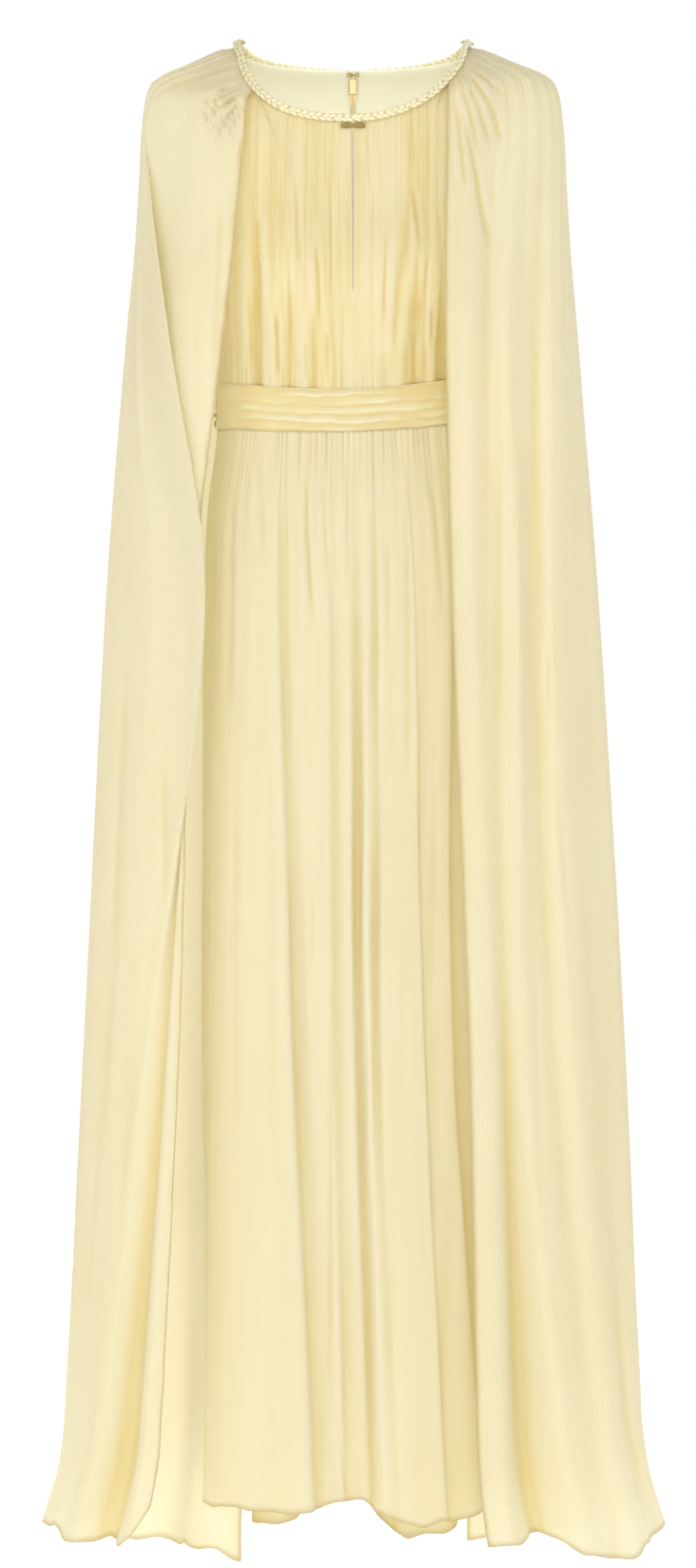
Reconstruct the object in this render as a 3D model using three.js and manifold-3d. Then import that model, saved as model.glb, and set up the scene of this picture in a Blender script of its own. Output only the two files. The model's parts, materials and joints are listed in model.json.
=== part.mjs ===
// A long evening dress: a gathered bodice with a keyhole neck, a pleated sash band, a gathered
// skirt and two full-length sheer capes that hang from a braided neckline.
//
// Millimetres, +Z up. The dress stands in its worn shape. The origin is between the shoulders at
// the height of the neck's sides, the wearer faces -Y, and their left side is +X.
import * as THREE from 'three';
import Module from 'manifold-3d';
import { mergeVertices } from 'three/addons/utils/BufferGeometryUtils.js';

const { clamp, degToRad, lerp, smoothstep } = THREE.MathUtils;
const wasm = await Module();
wasm.setup();

// ---------------------------------------------------------------- driving sizes

const CLOTH = 1.5;                     // wall of the bodice, band and skirt
const SHEER = 1.2;                     // wall of the capes and of the lining
const SEAM = 0.3;                      // gap between pieces that are sewn together
const FRONT = -1;                      // the two faces of the body, as the sign of Y
const BACK = 1;
const LEFT = 1;                        // the wearer's two sides, as the sign of X
const RIGHT = -1;

const NECK = { half: 112, sideZ: -4, frontZ: -88, backZ: -19, share: 0.72, sink: 5 };
const NECK_ROUND = { leftFront: 1.9, rightFront: 2.45, back: 2.2 };
const SHOULDER = { tip: 172, tipZ: -38, round: 80 };
const BUST = { x: 74, z: -238, out: 13, radius: 50 };
// The bodice's gathers and rows; the rows lie closer together near the shoulders.
const BODICE = { frontColumns: 38, backColumns: 16, rows: 8, crowding: 1.57, gather: 1.2 };
const KEYHOLE = { width: 7, end: 1, rows: 6 };
const KEYHOLE_BAR = { half: 12, high: 2.2, thick: 1.6, corner: 1, bevel: 0.4, below: 7.2,
  before: 2 };
const BAND = { topZ: -338, bottomZ: -385, dip: { front: 16, back: 5 },
  bottomDip: { front: 12, back: 4 }, tilt: 4, proud: 1.6, pleats: 5, pleat: 1.5 };
const LINING = { inside: 4, rise: 5 };  // how far it lies inside the back, and rises past it

// The zip at the centre back: the cloth stands open by ZIP.open to each side of it.
const ZIP = { open: 1, topZ: -39, endZ: -560, lining: 4.6, sliderZ: -30.2 };
const ZIP_TAPE = { from: 0.85, to: 8, inside: 1.9, thick: 0.8 };
const ZIP_CHAIN = { half: 1.6, inside: 3.1, thick: 1.6 };
const SLIDER = { half: 3.2, long: 16, thick: 2.4, inside: 3.3, neck: 1, neckLong: 5, cap: 0.8 };
const PIN = { radius: 0.6, half: 2.6, out: 2.5 };
const PULL = { long: 19, half: 2.5, thick: 1.2, ring: 1.6, bore: 0.95, arm: 1.3, inner: 1,
  slot: 3.6, shoulder: 5.6 };

// Hook and eye: bent wire, along X and Z from their shared centre.
const HOOK_Z = -18.2;
const WIRE = { radius: 0.45, clear: 0.9, steps: 16 };
const HOOK = [[5.4, 2.6], [6.1, 1.4], [4.4, 0.7], [1.8, 0.9], [0.7, 0], [1.8, -0.9],
  [4.4, -0.7], [6.1, -1.4], [5.4, -2.6]];
const EYE = [[-5.4, 2.6], [-6.1, 1.4], [-4.4, 0.9], [-2, 2.4], [-0.8, 0], [-2, -2.4],
  [-4.4, -0.9], [-6.1, -1.4], [-5.4, -2.6]];

/** Rows of numbers as objects, under the names of their columns. */
function table(columns, ...rows) {
  const names = columns.split(' ');
  return rows.map((row) => Object.fromEntries(names.map((name, k) => [name, row[k]])));
}

// The body of the dress: half its width, and its depth before and behind the side seams.
const BODY = table('z half front back',
  [0, 190, 84, 72],
  [-90, 182, 94, 84],
  [-170, 168, 104, 93],
  [-235, 155, 112, 96],
  [-300, 143, 102, 86],
  [-345, 137, 90, 77],
  [-397, 138, 90, 78],
  [-470, 147, 98, 94],
  [-560, 151, 103, 108],
  [-780, 152, 110, 120],
  [-1010, 153, 116, 133],
  [-1245, 148, 122, 150],
  [-1480, 141, 128, 165]);

// How far round from the centre each bodice panel reaches, in degrees: the armhole's edge.
const ARMHOLE = table('z turn',
  [-38, 65], [-60, 56], [-100, 50], [-150, 48.5], [-182, 52], [-204, 62], [-218, 76], [-230, 90]);

// Grooves pressed into the bodice under and beside the bust.
const BODICE_GROOVES = table('x topZ bottomZ depth width',
  [-97, -170, -352, 4.5, 6],
  [-62, -235, -345, 3.5, 9],
  [-40, -262, -345, 2.5, 6],
  [62, -215, -345, 4, 9],
  [88, -250, -350, 4.5, 6]);

// Fold lines of the skirt: where each lies at the waist, the knee and the hem, how far it stands
// out from the body there, and the height of the hem under it.
const SKIRT_LEVELS = { waist: -397, hip: -540, knee: -1000, hem: -1470 };
const SKIRT_FRONT = table('waist knee hem kneeOut hemOut hemZ',
  [-122, -127, -126, 18, 26, -1462],
  [-98, -94, -84, 28, 42, -1455],
  [-75, -59, -38, 27, 38, -1454],
  [-68, -52, -30, 3, 3, -1456],
  [-50, -37, -22, 15, 8, -1457],
  [-26, -21, -9, 19, 16, -1458],
  [-20, -14, -3, 6, 3, -1459],
  [-6, -1, 13, 16, 5, -1459],
  [1, 6, 19, -7, 2, -1459],
  [9, 14, 26, 19, 36, -1460],
  [19, 22, 36, 9, 37, -1461],
  [27, 31, 46, 21, 44, -1462],
  [48, 60, 72, 23, 42, -1463],
  [54, 66, 79, 11, 29, -1463],
  [84, 88, 104, 21, 37, -1461],
  [92, 96, 112, -1, 4, -1460],
  [112, 124, 129, 14, 18, -1464]);
const SKIRT_BACK_LEFT = table('waist knee hem kneeOut hemOut hemZ',
  [122, 134, 129, 12, 20, -1482],
  [98, 106, 104, 1, 1, -1498],
  [76, 84, 86, 18, 32, -1524],
  [52, 60, 60, 3, 4, -1531],
  [34, 38, 35, 17, 30, -1530],
  [12, 14, 13, 5, 5, -1499]);
const SKIRT_BACK_RIGHT = table('waist knee hem kneeOut hemOut hemZ',
  [122, 131, 127, 12, 22, -1480],
  [100, 107, 106, 1, 1, -1494],
  [80, 86, 82, 19, 33, -1519],
  [55, 62, 62, 3, 3, -1512],
  [36, 42, 40, 16, 27, -1501],
  [13, 17, 15, 5, 5, -1495]);
// The seams' own lines. FAR is a distance beyond the side seams, which clamps to them.
const FAR = 999;
const SIDE_SEAM = { waist: FAR, knee: FAR, hem: FAR, kneeOut: 0, hemOut: 0, hemZ: -1472 };
const CENTRE_SEAM = { waist: ZIP.open, knee: SEAM / 2, hem: SEAM / 2, kneeOut: 0, hemOut: 0,
  hemZ: -1495 };
const SKIRT_ROWS = { front: 10, back: 8, crowding: 1.5 };
const SKIRT_GATHER = { high: 2.4, fade: 110 };

// The shape that the capes hang in: half its width, and its depth before and behind.
const CAPE_RING = -88;
const CAPES = table('z half front back',
  [CAPE_RING, 213, 106, 92],
  [-200, 220, 124, 106],
  [-300, 229, 130, 116],
  [-560, 249, 126, 134],
  [-1000, 273, 150, 165],
  [-1360, 290, 168, 192],
  [-1430, 296, 172, 198],
  [-1485, 314, 178, 205],
  [-1560, 318, 182, 210]);
// The shoulder's profile: how far out, and how far down, as shares of the way to the ring.
const CAPE_SHOULDER = table('out drop', [0, 0], [0.14, 0.055], [0.34, 0.14], [0.55, 0.235],
  [0.78, 0.335], [0.93, 0.5], [1, 1]);

// Fold lines of the capes from the front edge to the back edge: degrees from the side (front is
// minus) at five levels, how far each lies inside the ring's outline, and the hem under it.
const CAPE_LEVELS = { shoulder: CAPE_RING, chest: -300, hip: -560, knee: -1000, hem: -1480 };
const CAPE_COLUMNS = 'shoulder chest hip knee hem chestIn hipIn kneeIn hemIn hemZ';
const CAPE_LEFT = table(CAPE_COLUMNS,
  [-64, -66.5, -67, -65.5, -65.4, 0, 0, 0, 0, -1493],
  [-55, -59, -61, -60, -59, 0, 1, 0, 0, -1494],
  [-48, -54, -56, -56, -51, 8, 9, 12, 42, -1487],
  [-41, -48, -49, -52, -44.5, 0, 0, 0, 0, -1501],
  [-30, -37, -42, -43, -34, 7, 11, 8, 4, -1512],
  [-16, -27.5, -36.5, -36, -22, -1, -1, 0, 0, -1507],
  [-4, -14, -22, -21, -12, 4, 8, 9, 9, -1496],
  [8, 5, 2, 0, 0, 0, 0, 0, 0, -1489],
  [22, 20, 18, 18, 18, 6, 12, 26, 42, -1494],
  [36, 35, 34, 34, 36, 0, 0, 0, 0, -1516],
  [49, 47, 46, 48, 49, 6, 11, 24, 38, -1520],
  [62, 60, 60, 61, 59, 0, 0, 0, 0, -1538],
  [80, 76, 72, 69, 67.4, 0, 2, 4, 6, -1546]);
const CAPE_RIGHT = table(CAPE_COLUMNS,
  [-60, -56, -53.5, -51, -46.7, 0, 2, 3, 0, -1453],
  [-44, -40, -50.5, -48, -42, 4, 6, 3, 0, -1499],
  [-18, -20, -47, -45.5, -34, 14, 19, 10, 32, -1488],
  [-13, -37.5, -54.5, -42, -29, -2, -5, -1, 0, -1497],
  [-8, -23, -40, -34, -20, -2, 0, 2, 5, -1493],
  [0, -9, -25, -24, -10, 2, 4, 6, 6, -1488],
  [8, 5, 2, 0, 0, 0, 0, 0, 0, -1485],
  [22, 20, 18, 18, 20, 6, 13, 27, 44, -1500],
  [36, 34, 34, 35, 35, 0, 0, 0, 0, -1524],
  [49, 48, 47, 48, 49, 6, 10, 22, 36, -1530],
  [62, 61, 60, 60, 58, 0, 0, 0, 0, -1550],
  [80, 76, 72, 70, 68, 0, 2, 4, 6, -1560]);
// Where a cape's seam begins and ends, as shares of the neckline from the centre to the side.
const CAPE_NECK = { front: 0.6, back: 0.16, frontLift: 2.4, backLift: 1 };
const CAPE_ROWS = 9;
const CAPE_ROOM = { seam: 3, shoulder: 5.5, rows: 3 };  // from the body to a cape, along Y
const CAPE_GATHER = { high: 3, from: 9, full: 28, fade: 120 };

const COLUMNS_PER_FOLD = 3;            // of the skirt's and the capes' cloth

// The braid's section: across the cord and up from the cloth, before it swells and narrows.
const BRAID = { half: 4.6, high: 3.6, lean: 3.5, centre: 0.006, narrow: 0.82 };
const BRAID_STEPS = { front: 60, back: 18 };
const BRAID_SECTION = table('across up', [-1, 0.2], [-0.6, 1], [0.6, 1], [1, 0.2], [0, 0]);

// ---------------------------------------------------------------- curves and walls

/** One column of a table at a height, on a smooth curve through its rows, highest row first. */
function valueAt(rows, name, z) {
  const last = rows.length - 1;
  let k = 0;
  while (k < last - 1 && z < rows[k + 1].z) k += 1;
  const slope = (n) => {
    const above = rows[Math.max(n - 1, 0)];
    const under = rows[Math.min(n + 1, last)];
    return (under[name] - above[name]) / (under.z - above.z);
  };
  const span = rows[k + 1].z - rows[k].z;
  const t = clamp((z - rows[k].z) / span, 0, 1);
  const start = rows[k][name] * (1 + 2 * t) * (1 - t) ** 2 + slope(k) * span * t * (1 - t) ** 2;
  const end = rows[k + 1][name] * t * t * (3 - 2 * t) + slope(k + 1) * span * t * t * (t - 1);
  return start + end;
}

/** Turns a share of a path's length into the path's parameter, which runs from 1 to 0. */
function byLength(pointAt) {
  const samples = 200;
  const points = Array.from({ length: samples + 1 }, (_, k) => pointAt(1 - k / samples));
  const lengths = [0];
  points.slice(1).forEach((point, k) => lengths.push(lengths[k] + point.distanceTo(points[k])));
  return (share) => {
    const target = clamp(share, 0, 1) * lengths[samples];
    const k = Math.min(Math.max(lengths.findIndex((length) => length >= target), 1), samples);
    const t = (target - lengths[k - 1]) / (lengths[k] - lengths[k - 1]);
    return 1 - (k - 1 + t) / samples;
  };
}

/** A grid of points: rows run down, columns run round. */
function gridOf(columns, rows, point) {
  return Array.from({ length: rows + 1 }, (_, j) => (
    Array.from({ length: columns + 1 }, (__, i) => point(i / columns, j / rows, i, j))));
}

/** A grid through fold lines: each row is a smooth curve across the lines' points at that row. */
function loft(lines, rows) {
  const columns = COLUMNS_PER_FOLD * (lines.length - 1);
  return Array.from({ length: rows + 1 }, (_, j) => {
    const knots = lines.map((line) => line(j));
    return new THREE.CatmullRomCurve3(knots, false, 'catmullrom').getPoints(columns);
  });
}

/** The outward normal of a grid at a point. Columns run anticlockwise from above where side is 1. */
function normalAt(grid, i, j, side) {
  const row = grid[j];
  const across = row[Math.min(i + 1, row.length - 1)].clone().sub(row[Math.max(i - 1, 0)]);
  const under = grid[Math.min(j + 1, grid.length - 1)][i];
  const down = under.clone().sub(grid[Math.max(j - 1, 0)][i]);
  return down.cross(across).normalize().multiplyScalar(side);
}

/**
 * The closed wall of a sheet of cloth. Its outer face stands off the grid by raise(i, j), and
 * its inner face lies a wall's thickness inside that. Cells that cut(i, j) names are left open.
 * Ends names the axes along which the first and the last column face their neighbours, so that
 * the wall's edge there is square to the seam.
 */
function cloth(grid, { wall = CLOTH, side = 1, raise = () => 0, cut = () => false, ends = [] }) {
  const columns = grid[0].length;
  const outer = [];
  const inner = [];
  grid.forEach((row, j) => row.forEach((point, i) => {
    const normal = normalAt(grid, i, j, side);
    const seamAxis = (i === 0 && ends[0]) || (i === columns - 1 && ends[1]);
    if (seamAxis) {
      normal[seamAxis] = 0;
      normal.normalize();
    }
    const stand = raise(i, j);
    outer.push(point.clone().addScaledVector(normal, stand));
    inner.push(point.clone().addScaledVector(normal, stand - wall));
  }));
  const faces = [];
  const edges = new Map();
  const addFace = (a, b, c) => {
    const turn = side > 0 ? [a, b, c] : [a, c, b];
    faces.push(turn, turn.map((n) => n + outer.length).reverse());
    turn.forEach((n, k) => edges.set(`${n} ${turn[(k + 1) % 3]}`, [n, turn[(k + 1) % 3]]));
  };
  for (let j = 0; j < grid.length - 1; j += 1) {
    for (let i = 0; i < columns - 1; i += 1) {
      const a = j * columns + i;
      if (!cut(i, j)) {
        addFace(a, a + columns, a + columns + 1);
        addFace(a, a + columns + 1, a + 1);
      }
    }
  }
  for (const [from, to] of edges.values()) {
    if (!edges.has(`${to} ${from}`)) {
      faces.push([to, from, from + outer.length], [to, from + outer.length, to + outer.length]);
    }
  }
  const geometry = new THREE.BufferGeometry().setFromPoints([...outer, ...inner]);
  geometry.setIndex(faces.flat());
  return geometry;
}

/** A closed bar swept through rings of points, with flat ends. */
function sweep(rings) {
  const sides = rings[0].length;
  const faces = [];
  for (let k = 0; k < rings.length - 1; k += 1) {
    for (let n = 0; n < sides; n += 1) {
      const a = k * sides + n;
      const b = k * sides + ((n + 1) % sides);
      faces.push([a, b + sides, b], [a, a + sides, b + sides]);
    }
  }
  const end = (rings.length - 1) * sides;
  for (let n = 1; n < sides - 1; n += 1) {
    faces.push([0, n, n + 1], [end, end + n + 1, end + n]);
  }
  const geometry = new THREE.BufferGeometry().setFromPoints(rings.flat());
  geometry.setIndex(faces.flat());
  return geometry;
}

/** Several closed geometries joined into one solid. */
function join(...geometries) {
  const solids = geometries.map((geometry) => {
    const bare = geometry.clone();
    bare.deleteAttribute('normal');
    bare.deleteAttribute('uv');
    const merged = mergeVertices(bare, 1e-4);
    return new wasm.Manifold(new wasm.Mesh({
      numProp: 3,
      vertProperties: merged.attributes.position.array,
      triVerts: new Uint32Array(merged.index.array),
    }));
  });
  const mesh = solids.reduce((whole, solid) => whole.add(solid)).getMesh();
  const joined = new THREE.BufferGeometry();
  joined.setAttribute('position', new THREE.BufferAttribute(mesh.vertProperties, 3));
  joined.setIndex([...mesh.triVerts]);
  return joined;
}

// ---------------------------------------------------------------- the body's surface

/** The height of the shoulder seam's line at a distance from the centre. */
function shoulderZ(x) {
  const share = Math.max(0, (Math.abs(x) - NECK.half) / (SHOULDER.tip - NECK.half));
  return lerp(NECK.sideZ, SHOULDER.tipZ, share);
}

/**
 * A point of the body's surface: turn is measured from the centre of the face, in radians. At
 * the shoulder seam the two faces are kept apart by twice the room, for the walls' thickness.
 */
function torso(turn, z, face, room = 0) {
  const x = valueAt(BODY, 'half', z) * Math.sin(turn);
  const depth = valueAt(BODY, face === FRONT ? 'front' : 'back', z);
  const below = clamp((shoulderZ(x) - z) / SHOULDER.round, 0, 1);
  const round = Math.sqrt(1 - (1 - below) ** 2);
  const off = ((Math.abs(x) - BUST.x) ** 2 + (z - BUST.z) ** 2) / (2 * BUST.radius ** 2);
  const bust = face === FRONT ? BUST.out * Math.exp(-off) : 0;
  const apart = SEAM / 2 + room * (1 - round);
  return new THREE.Vector3(x, face * (apart + (depth * round + bust) * Math.cos(turn)), z);
}

/** The turn at which the body's surface is a distance out from the centre. */
function turnOf(x, z) {
  return Math.asin(clamp(x / valueAt(BODY, 'half', z), -1, 1));
}

/** A point of the neckline's outline: its parameter is 1 at the centre and 0 at the side. */
function neckOutline(parameter, face, side) {
  const front = side === LEFT ? NECK_ROUND.leftFront : NECK_ROUND.rightFront;
  const power = 2 / (face === FRONT ? front : NECK_ROUND.back);
  const turn = (parameter ** 2) * Math.PI / 2;
  const drop = (face === FRONT ? NECK.frontZ : NECK.backZ) - NECK.sideZ;
  return {
    x: NECK.half * Math.max(Math.cos(turn), 0) ** power,
    z: NECK.sideZ + drop * Math.sin(turn) ** power,
  };
}

const neckRuns = new Map([FRONT, BACK].flatMap((face) => [LEFT, RIGHT].map((side) => [
  `${face} ${side}`,
  byLength((parameter) => {
    const { x, z } = neckOutline(parameter, face, side);
    return torso(turnOf(x, z), z, face);
  }),
])));

/** The neckline at a share of its length from the centre of a face to the side. */
function neckline(share, face, side) {
  return neckOutline(neckRuns.get(`${face} ${side}`)(share), face, side);
}

/**
 * A point of the line that the braid and the capes are sewn along, moved out along the surface's
 * normal: the front's neckline, and a line that sinks a little below the back's.
 */
function neckPoint(share, face, side, out = 0) {
  const { x, z: edgeZ } = neckline(share, face, side);
  const z = edgeZ - (face === BACK ? NECK.sink * (1 - share ** 2) : 0);
  const step = 0.5;
  const turn = turnOf(x, z);
  const point = torso(turn, z, face);
  const across = torso(turn + degToRad(step), z, face).sub(point);
  const down = torso(turn, z - step, face).sub(point);
  const normal = face === FRONT ? down.cross(across) : across.cross(down);
  point.addScaledVector(normal.normalize(), out);
  point.x *= side;
  return point;
}

/** The height of an edge of the band: it dips at the centre and tilts up to the wearer's left. */
function bandZ(edgeZ, dip, turn, face) {
  const sag = face === FRONT ? dip.front : dip.back;
  return edgeZ - sag * Math.cos(turn) ** 2 + BAND.tilt * Math.sin(turn);
}

// ---------------------------------------------------------------- bodice

/** A point of half a bodice panel: share runs from the centre to the side, run from the top. */
function bodicePoint(share, run, face, side, centreGap) {
  const fall = run ** BODICE.crowding;
  const along = (share - NECK.share) / (1 - NECK.share);
  const shoulder = lerp(NECK.half, SHOULDER.tip, along);
  const top = share < NECK.share
    ? neckline(share / NECK.share, face, side)
    : { x: shoulder, z: shoulderZ(shoulder) };
  const waist = bandZ(BAND.topZ, BAND.dip, side * share * Math.PI / 2, face) + 2 * SEAM;
  const z = lerp(top.z, waist, fall);
  const spread = (height) => share * degToRad(valueAt(ARMHOLE, 'turn', height));
  const start = turnOf(top.x, top.z) - spread(top.z);
  const turn = spread(z) + start * (1 - smoothstep(fall, 0, 0.4));
  const point = torso(side * turn, z, face, CLOTH);
  point.x += side * centreGap(run) * (1 - share);
  return point;
}

/** Fine gathers: ridges on every other column, strongest at the seams, over pressed grooves. */
function gathered(grid) {
  return (i, j) => {
    const { x, z } = grid[j][i];
    const seam = Math.abs(2 * j / (grid.length - 1) - 1);
    const underCape = smoothstep(Math.abs(x), 84, 94) * smoothstep(z, -120, -70);
    const ridge = i % 2 ? BODICE.gather * lerp(0.45, 1, seam) * (1 - underCape) : 0;
    const pressed = BODICE_GROOVES.map((groove) => {
      const run = smoothstep(-z, -groove.topZ, -lerp(groove.topZ, groove.bottomZ, 0.6));
      return groove.depth * run * Math.exp(-(((x - groove.x) / groove.width) ** 2));
    });
    return ridge - Math.max(...pressed);
  };
}

function bodiceFront() {
  const half = BODICE.frontColumns;
  const gap = (run) => {
    const open = clamp(1 - run * BODICE.rows / KEYHOLE.rows, 0, 1);
    return lerp(KEYHOLE.end, KEYHOLE.width, open) / 2;
  };
  const grid = gridOf(2 * half + 1, BODICE.rows, (_, run, i) => {
    const side = i <= half ? RIGHT : LEFT;
    const share = (i <= half ? half - i : i - half - 1) / half;
    return bodicePoint(share, run, FRONT, side, gap);
  });
  return cloth(grid, {
    ends: ['y', 'y'],
    raise: gathered(grid),
    cut: (i, j) => i === half && j < KEYHOLE.rows,
  });
}

/** A back panel, from the side seam to the zip. */
function backGrid(side, centreGap) {
  return gridOf(BODICE.backColumns, BODICE.rows, (u, run) => (
    bodicePoint(1 - u, run, BACK, side, centreGap)));
}

function bodiceBack(side) {
  const grid = backGrid(side, (run) => lerp(SEAM / 2, ZIP.open, Math.min(run * BODICE.rows, 1)));
  return cloth(grid, {
    side,
    ends: ['y', 'x'],
    raise: (i, j) => (
      i % 2 && i < BODICE.backColumns - 1 ? BODICE.gather * smoothstep(j, 0, 3) : 0),
  });
}

/** The lining of a back panel. On the neckline its edge rises past the panel's. */
function backLining(side) {
  const grid = backGrid(side, () => ZIP.lining);
  grid[0].forEach((point, i) => {
    const share = 1 - i / BODICE.backColumns;
    const rise = LINING.rise * (1 - smoothstep(share, 0.6 * NECK.share, NECK.share));
    point.addScaledVector(point.clone().sub(grid[1][i]).normalize(), rise);
  });
  return cloth(grid, { side, ends: ['y', 'x'], wall: SHEER, raise: () => -LINING.inside });
}

// ---------------------------------------------------------------- sash band

/** A piece of the band between two turns from the centre of its face. */
function bandPiece(face, from, to, columns, side) {
  const rows = 2 * BAND.pleats;
  const grid = gridOf(columns, rows, (u, fall) => {
    const turn = lerp(from, to, u);
    const top = bandZ(BAND.topZ, BAND.dip, turn, face);
    const bottom = bandZ(BAND.bottomZ, BAND.bottomDip, turn, face);
    return torso(turn, lerp(top, bottom, fall), face);
  });
  return cloth(grid, {
    side,
    ends: ['y', face === FRONT ? 'y' : 'x'],
    raise: (i, j) => BAND.proud + (j % 2 ? BAND.pleat : 0),
  });
}

function bandFront() {
  return bandPiece(FRONT, -Math.PI / 2, Math.PI / 2, 14, 1);
}

function bandBack(side) {
  const centre = side * ZIP.open / valueAt(BODY, 'half', BAND.topZ);
  return bandPiece(BACK, side * Math.PI / 2, centre, 7, side);
}

// ---------------------------------------------------------------- skirt

/** A fold line of the skirt as a function of its fall from the band to the hem. */
function skirtLine(line, face, side) {
  const atWaist = side * turnOf(line.waist, SKIRT_LEVELS.waist);
  const path = [
    { z: SKIRT_LEVELS.waist, turn: atWaist, out: 0 },
    { z: SKIRT_LEVELS.hip, turn: lerp(atWaist, side * turnOf(line.knee, SKIRT_LEVELS.knee), 0.3),
      out: 0.5 * line.kneeOut },
    { z: SKIRT_LEVELS.knee, turn: side * turnOf(line.knee, SKIRT_LEVELS.knee), out: line.kneeOut },
    { z: SKIRT_LEVELS.hem, turn: side * turnOf(line.hem, SKIRT_LEVELS.hem), out: line.hemOut },
  ];
  const top = bandZ(BAND.bottomZ, BAND.bottomDip, atWaist, face) - SEAM;
  return (fall) => {
    const z = lerp(top, line.hemZ, fall);
    const turn = valueAt(path, 'turn', z);
    const half = valueAt(BODY, 'half', z);
    const depth = valueAt(BODY, face === FRONT ? 'front' : 'back', z);
    const normal = new THREE.Vector3(Math.sin(turn) / half, face * Math.cos(turn) / depth, 0);
    return torso(turn, z, face).addScaledVector(normal.normalize(), valueAt(path, 'out', z));
  };
}

/** How far a row of the skirt has fallen, as a share: rows lie closer together at the waist. */
function skirtFall(row, rows) {
  return (row / rows) ** SKIRT_ROWS.crowding;
}

/** A skirt panel across its fold lines, gathered into the band. */
function skirtPanel(lines, rows, side, ends) {
  const grid = loft(lines.map((line) => (j) => line(skirtFall(j, rows))), rows);
  const last = grid[0].length - 1;
  return cloth(grid, {
    side,
    ends,
    raise: (i, j) => {
      const drop = grid[0][i].z - grid[j][i].z;
      return i % 2 && i < last ? SKIRT_GATHER.high * Math.exp(-drop / SKIRT_GATHER.fade) : 0;
    },
  });
}

function skirtFront() {
  const lines = [
    skirtLine(SIDE_SEAM, FRONT, RIGHT),
    ...SKIRT_FRONT.map((line) => skirtLine(line, FRONT, 1)),
    skirtLine(SIDE_SEAM, FRONT, LEFT),
  ];
  return skirtPanel(lines, SKIRT_ROWS.front, 1, ['y', 'y']);
}

function skirtBack(side, foldLines) {
  const lines = [SIDE_SEAM, ...foldLines, CENTRE_SEAM];
  const paths = lines.map((line) => skirtLine(line, BACK, side));
  return skirtPanel(paths, SKIRT_ROWS.back, side, ['y', 'x']);
}

// ---------------------------------------------------------------- capes

/** How far a cape's outer face stands off the body where it is sewn to the neckline. */
function capeNeckOut(share, face) {
  const back = lerp(CAPE_NECK.backLift, CAPE_NECK.frontLift, share ** 2);
  return SHEER + (face === FRONT ? CAPE_NECK.frontLift : back);
}

/**
 * A fold line of a cape as a function of its row. It leaves the neckline at a share of the
 * cape's seam, passes the shoulder and hangs to the hem; sideShare is where the side is.
 */
function capeLine(line, share, sideShare, side) {
  const path = Object.entries(CAPE_LEVELS).map(([name, z]) => (
    { z, turn: line[name], inside: line[`${name}In`] ?? 0 }));
  const hanging = (z) => {
    const turn = degToRad(valueAt(path, 'turn', z));
    const half = valueAt(CAPES, 'half', z);
    const depth = valueAt(CAPES, turn < 0 ? 'front' : 'back', z);
    const normal = new THREE.Vector3(Math.cos(turn) / half, Math.sin(turn) / depth, 0).normalize();
    const point = new THREE.Vector3(half * Math.cos(turn), depth * Math.sin(turn), z);
    point.addScaledVector(normal, -valueAt(path, 'inside', z));
    point.x *= side;
    return point;
  };
  const face = share < sideShare ? FRONT : BACK;
  const neckShare = face === FRONT
    ? lerp(CAPE_NECK.front, 1, share / sideShare)
    : lerp(1, CAPE_NECK.back, (share - sideShare) / (1 - sideShare));
  const neck = neckPoint(neckShare, face, side, capeNeckOut(neckShare, face));
  const ring = hanging(CAPE_RING);
  return (row) => {
    if (row >= CAPE_SHOULDER.length) {
      const hung = (row - CAPE_SHOULDER.length + 1) / CAPE_ROWS;
      return hanging(lerp(CAPE_RING, line.hemZ, hung));
    }
    const { out, drop } = CAPE_SHOULDER[row];
    const point = neck.clone().lerp(ring, out);
    point.z = lerp(neck.z, ring.z, drop);
    const body = torso(turnOf(Math.abs(point.x), point.z), point.z, face);
    const room = lerp(CAPE_ROOM.seam, CAPE_ROOM.shoulder, Math.min(row / CAPE_ROOM.rows, 1));
    const covers = row > 0 && Math.abs(body.y) > CAPE_ROOM.shoulder;
    point.y = covers ? face * Math.max(face * point.y, Math.abs(body.y) + room) : point.y;
    return point;
  };
}

function cape(side, foldLines) {
  const last = foldLines.length - 1;
  const sideShare = foldLines.findIndex((line) => line.shoulder > 0) / last;
  const lines = foldLines.map((line, k) => capeLine(line, k / last, sideShare, side));
  const { high, from, full, fade } = CAPE_GATHER;
  const grid = loft(lines, CAPE_SHOULDER.length - 1 + CAPE_ROWS);
  return cloth(grid, {
    wall: SHEER,
    side,
    raise: (i, j) => {
      const drop = grid[0][i].distanceTo(grid[j][i]);
      return i % 2 ? high * smoothstep(drop, from, full) * Math.exp(-drop / fade) : 0;
    },
  });
}

// ---------------------------------------------------------------- neck trim

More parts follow.
